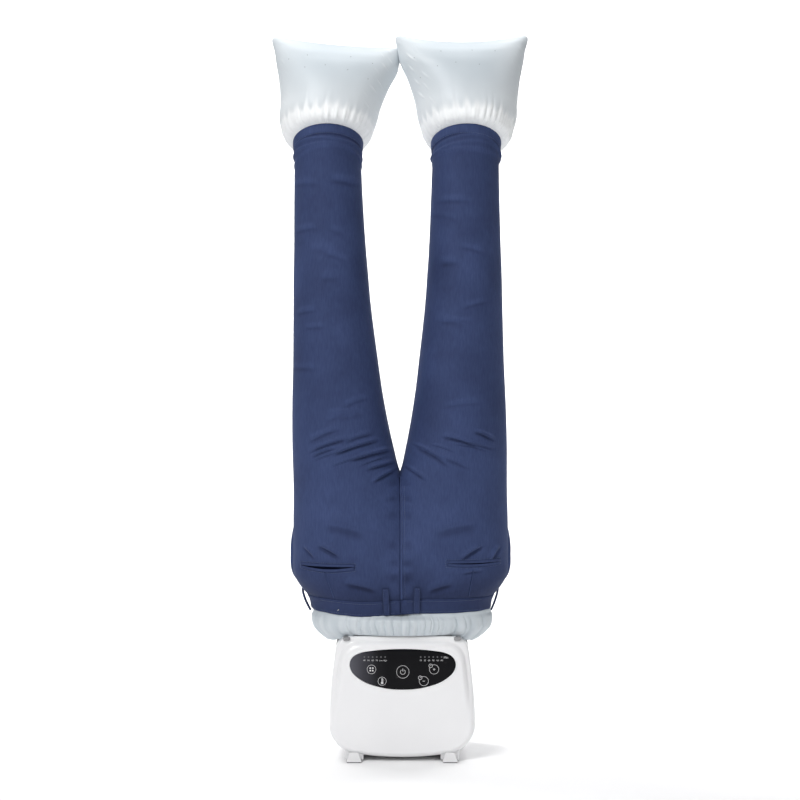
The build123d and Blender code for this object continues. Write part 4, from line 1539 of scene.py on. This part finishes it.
# Widths of rings and bars.
THIN, MEDIUM, HAND = 0.0007, 0.0008, 0.0006
POWER = (0.0016, 0.1847)
arc_mark(*POWER, 0.0127, THIN)
arc_mark(*POWER, 0.0050, MEDIUM, 125, 415)
bar_mark(*POWER, (0, 0.0012), (0, 0.0066), 0.0011)
FAN_MARK = (-0.0622, 0.1898)
arc_mark(*FAN_MARK, 0.0089, THIN)
for turn in (45, 135, 225, 315):
    spin = math.radians(turn)
    disc(FAN_MARK[0] + 0.0036 * math.cos(spin), FAN_MARK[1] + 0.0036 * math.sin(spin), 0.0017, marks)
HEAT_MARK = (-0.0406, 0.1658)
arc_mark(*HEAT_MARK, 0.0084, THIN)
disc(HEAT_MARK[0], HEAT_MARK[1] - 0.0034, 0.0026, marks)
bar_mark(*HEAT_MARK, (0, -0.003), (0, 0.0058), 0.0022)
for rung in (-0.0004, 0.0018, 0.0040):
    bar_mark(*HEAT_MARK, (0.0018, rung), (0.0034, rung), HAND)
# The two timers: a ring with a gap for a small clock, and a plus or a minus inside it.
PLUS, MINUS = (0.0653, 0.1898), (0.0443, 0.1660)
CROSS_HALF, CROSS_WIDTH = 0.0024, 0.0010
for timer, clock, radius, gap in (
    (PLUS, (0.0583, 0.1970), 0.0095, 135),
    (MINUS, (0.0369, 0.1729), 0.0093, 137),
):
    arc_mark(*timer, radius, THIN, gap + 22, gap + 338)
    arc_mark(*clock, 0.0037, MEDIUM)
    bar_mark(*clock, (0, 0), (0, 0.0024), HAND)
    bar_mark(*clock, (0, 0), (0.0018, 0), HAND)
    bar_mark(*timer, (-CROSS_HALF, 0), (CROSS_HALF, 0), CROSS_WIDTH)
bar_mark(*PLUS, (0, -CROSS_HALF), (0, CROSS_HALF), CROSS_WIDTH)
LABEL_Z = 0.2066
LED_Z = 0.2149
LABEL_SIZE, LONG_LABEL_SIZE = 0.0044, 0.0038
for labels, first, final in (
    (("40", "50", "60", "70", "Low", "High"), -0.0769, -0.0345),
    (("15", "30", "60", "90", "120", "180"), 0.0379, 0.0806),
):
    for place, label in zip(np.linspace(first, final, len(labels)), labels):
        word(label, place, LABEL_Z, LABEL_SIZE if len(label) < 3 else LONG_LABEL_SIZE)
        disc(place, LED_Z, 0.0017, leds)
word("Min", 0.0895, 0.2118, 0.0062)
mesh_object("panel_marks", *join_meshes(marks), M_MARK, ROOT, "panel_black", smooth=False)
mesh_object("panel_lamps", *join_meshes(leds), M_LED, ROOT, "led_white", smooth=False)


# ------------------------------------------------------------------ finishes on the CAD nodes
CORNERS = ("front_left", "front_right", "rear_left", "rear_right")
FINISHES = {
    M_SHELL: ("rear_shell", "outlet_collar", "rear_grille", "filter_frame"),
    M_SEAL: ("parting_seal", "cord_gland", "motor_bracket"),
    M_FOOT: ("foot_rails", *("foot_" + corner for corner in CORNERS)),
    M_PAD: tuple("foot_pad_" + corner for corner in CORNERS),
    M_FILTER: ("dust_filter",),
    M_STEEL: ("cover_screws", "chassis_plate", "touch_springs", "thermal_cutout", "outlet_guard"),
    M_DARK: ("fan_motor", "fan_impeller", "fan_shroud", "air_duct", "board_posts", "power_parts"),
    M_ALU: ("heater_fins", "rod_tube_left", "rod_tube_right", "rod_left", "rod_right"),
    M_CERAMIC: ("heater_bars", "heater_frame"),
    M_BOARD: ("control_board", "power_board"),
    M_LED: ("indicator_leds",),
    M_BAND: ("drawband", "bag_ring"),
    M_CATCH: ("catch_left", "catch_right", "rod_socket", "rod_lock_left", "rod_lock_right"),
    M_COVER: ("rod_tip_left", "rod_tip_right"),
    M_TWILL: ("waist_button",),
}
for material, names in FINISHES.items():
    for name in names:
        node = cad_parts[name]
        node.data.materials.clear()
        node.data.materials.append(material)


# ------------------------------------------------------------------ sheets
CLOTH = 0.0009
NYLON = 0.0004
thicken(trousers, CLOTH)
thicken(waistband, CLOTH)
for piece in (bag_lower, end_left, end_right):
    thicken(piece, NYLON)


# ------------------------------------------------------------------ floor, light and camera
def floor_material():
    made = Maker("studio_floor")
    cloud = made.noise(made.place(), 0.7, 2.0)
    made.set(
        Base_Color=made.colours(cloud, (0.3, (0.90, 0.90, 0.905)), (0.7, (0.915, 0.915, 0.92))),
        Roughness=0.9,
        Specular_IOR_Level=0.1,
    )
    return made.material


# The sweep: a floor that curves up into a wall behind the press.
SWEEP_HALF = 2.3
SWEEP_FRONT, SWEEP_BACK, SWEEP_TOP = -7.0, 4.2, 3.4
SWEEP_RADIUS = 2.0
CURVE_STEPS = 12
sweep = []
for x in (-SWEEP_HALF, SWEEP_HALF):
    sweep.append((x, SWEEP_FRONT, 0.0))
    for turn in range(CURVE_STEPS + 1):
        spin = math.radians(turn * 90 / CURVE_STEPS)
        y = SWEEP_BACK - SWEEP_RADIUS * (1 - math.sin(spin))
        sweep.append((x, y, SWEEP_RADIUS * (1 - math.cos(spin))))
    sweep.append((x, SWEEP_BACK, SWEEP_TOP))
columns = len(sweep) // 2
sweep_mesh = bpy.data.meshes.new("studio_sweep")
sweep_mesh.from_pydata(sweep, [], [(k, k + 1, columns + k + 1, columns + k) for k in range(columns - 1)])
sweep_mesh.shade_smooth()
sweep_mesh.materials.append(floor_material())
linked("studio_sweep", sweep_mesh)

# Each light's place, what it points at, its width and height, and its power.
LIGHTS = {
    "key": ((-1.9, -2.6, 3.3), (0, 0, 0.8), 1.6, 2.0, 105),
    "fill": ((2.4, -3.0, 2.2), (0, 0, 0.8), 1.8, 2.2, 34),
    "overhead": ((0.0, 0.2, 3.6), (0, 0.1, 0.0), 2.2, 1.8, 26),
    "sweep_left": ((-1.6, 1.2, 3.9), (-0.6, 4.2, 1.6), 1.6, 1.6, 150),
    "sweep_right": ((1.6, 1.2, 3.9), (0.6, 4.2, 1.6), 1.6, 1.6, 150),
}
for name, (place, aim, wide, tall, power) in LIGHTS.items():
    lamp = bpy.data.lights.new(name, "AREA")
    lamp.shape = "RECTANGLE"
    lamp.size = wide
    lamp.size_y = tall
    lamp.energy = power
    holder = linked(name, lamp)
    holder.location = place
    towards = mathutils.Vector(aim) - mathutils.Vector(place)
    holder.rotation_euler = towards.to_track_quat("-Z", "Y").to_euler()
world = bpy.data.worlds.new("studio_air")
bpy.context.scene.world = world
world.use_nodes = True
world.node_tree.nodes["Background"].inputs["Color"].default_value = (1.0, 1.0, 1.0, 1)
world.node_tree.nodes["Background"].inputs["Strength"].default_value = 0.15
bpy.context.scene.view_settings.view_transform = "Standard"

# The photo's camera, level and in front of the press.
EYE = (-0.0042, -3.2, 0.77)
lens = bpy.data.cameras.new("eye")
lens.sensor_width = 36.0
lens.lens = 68.6
lens.shift_y = -0.0194
eye = linked("eye", lens)
eye.location = EYE
eye.rotation_euler = (math.radians(90), 0, 0)
bpy.context.scene.camera = eye
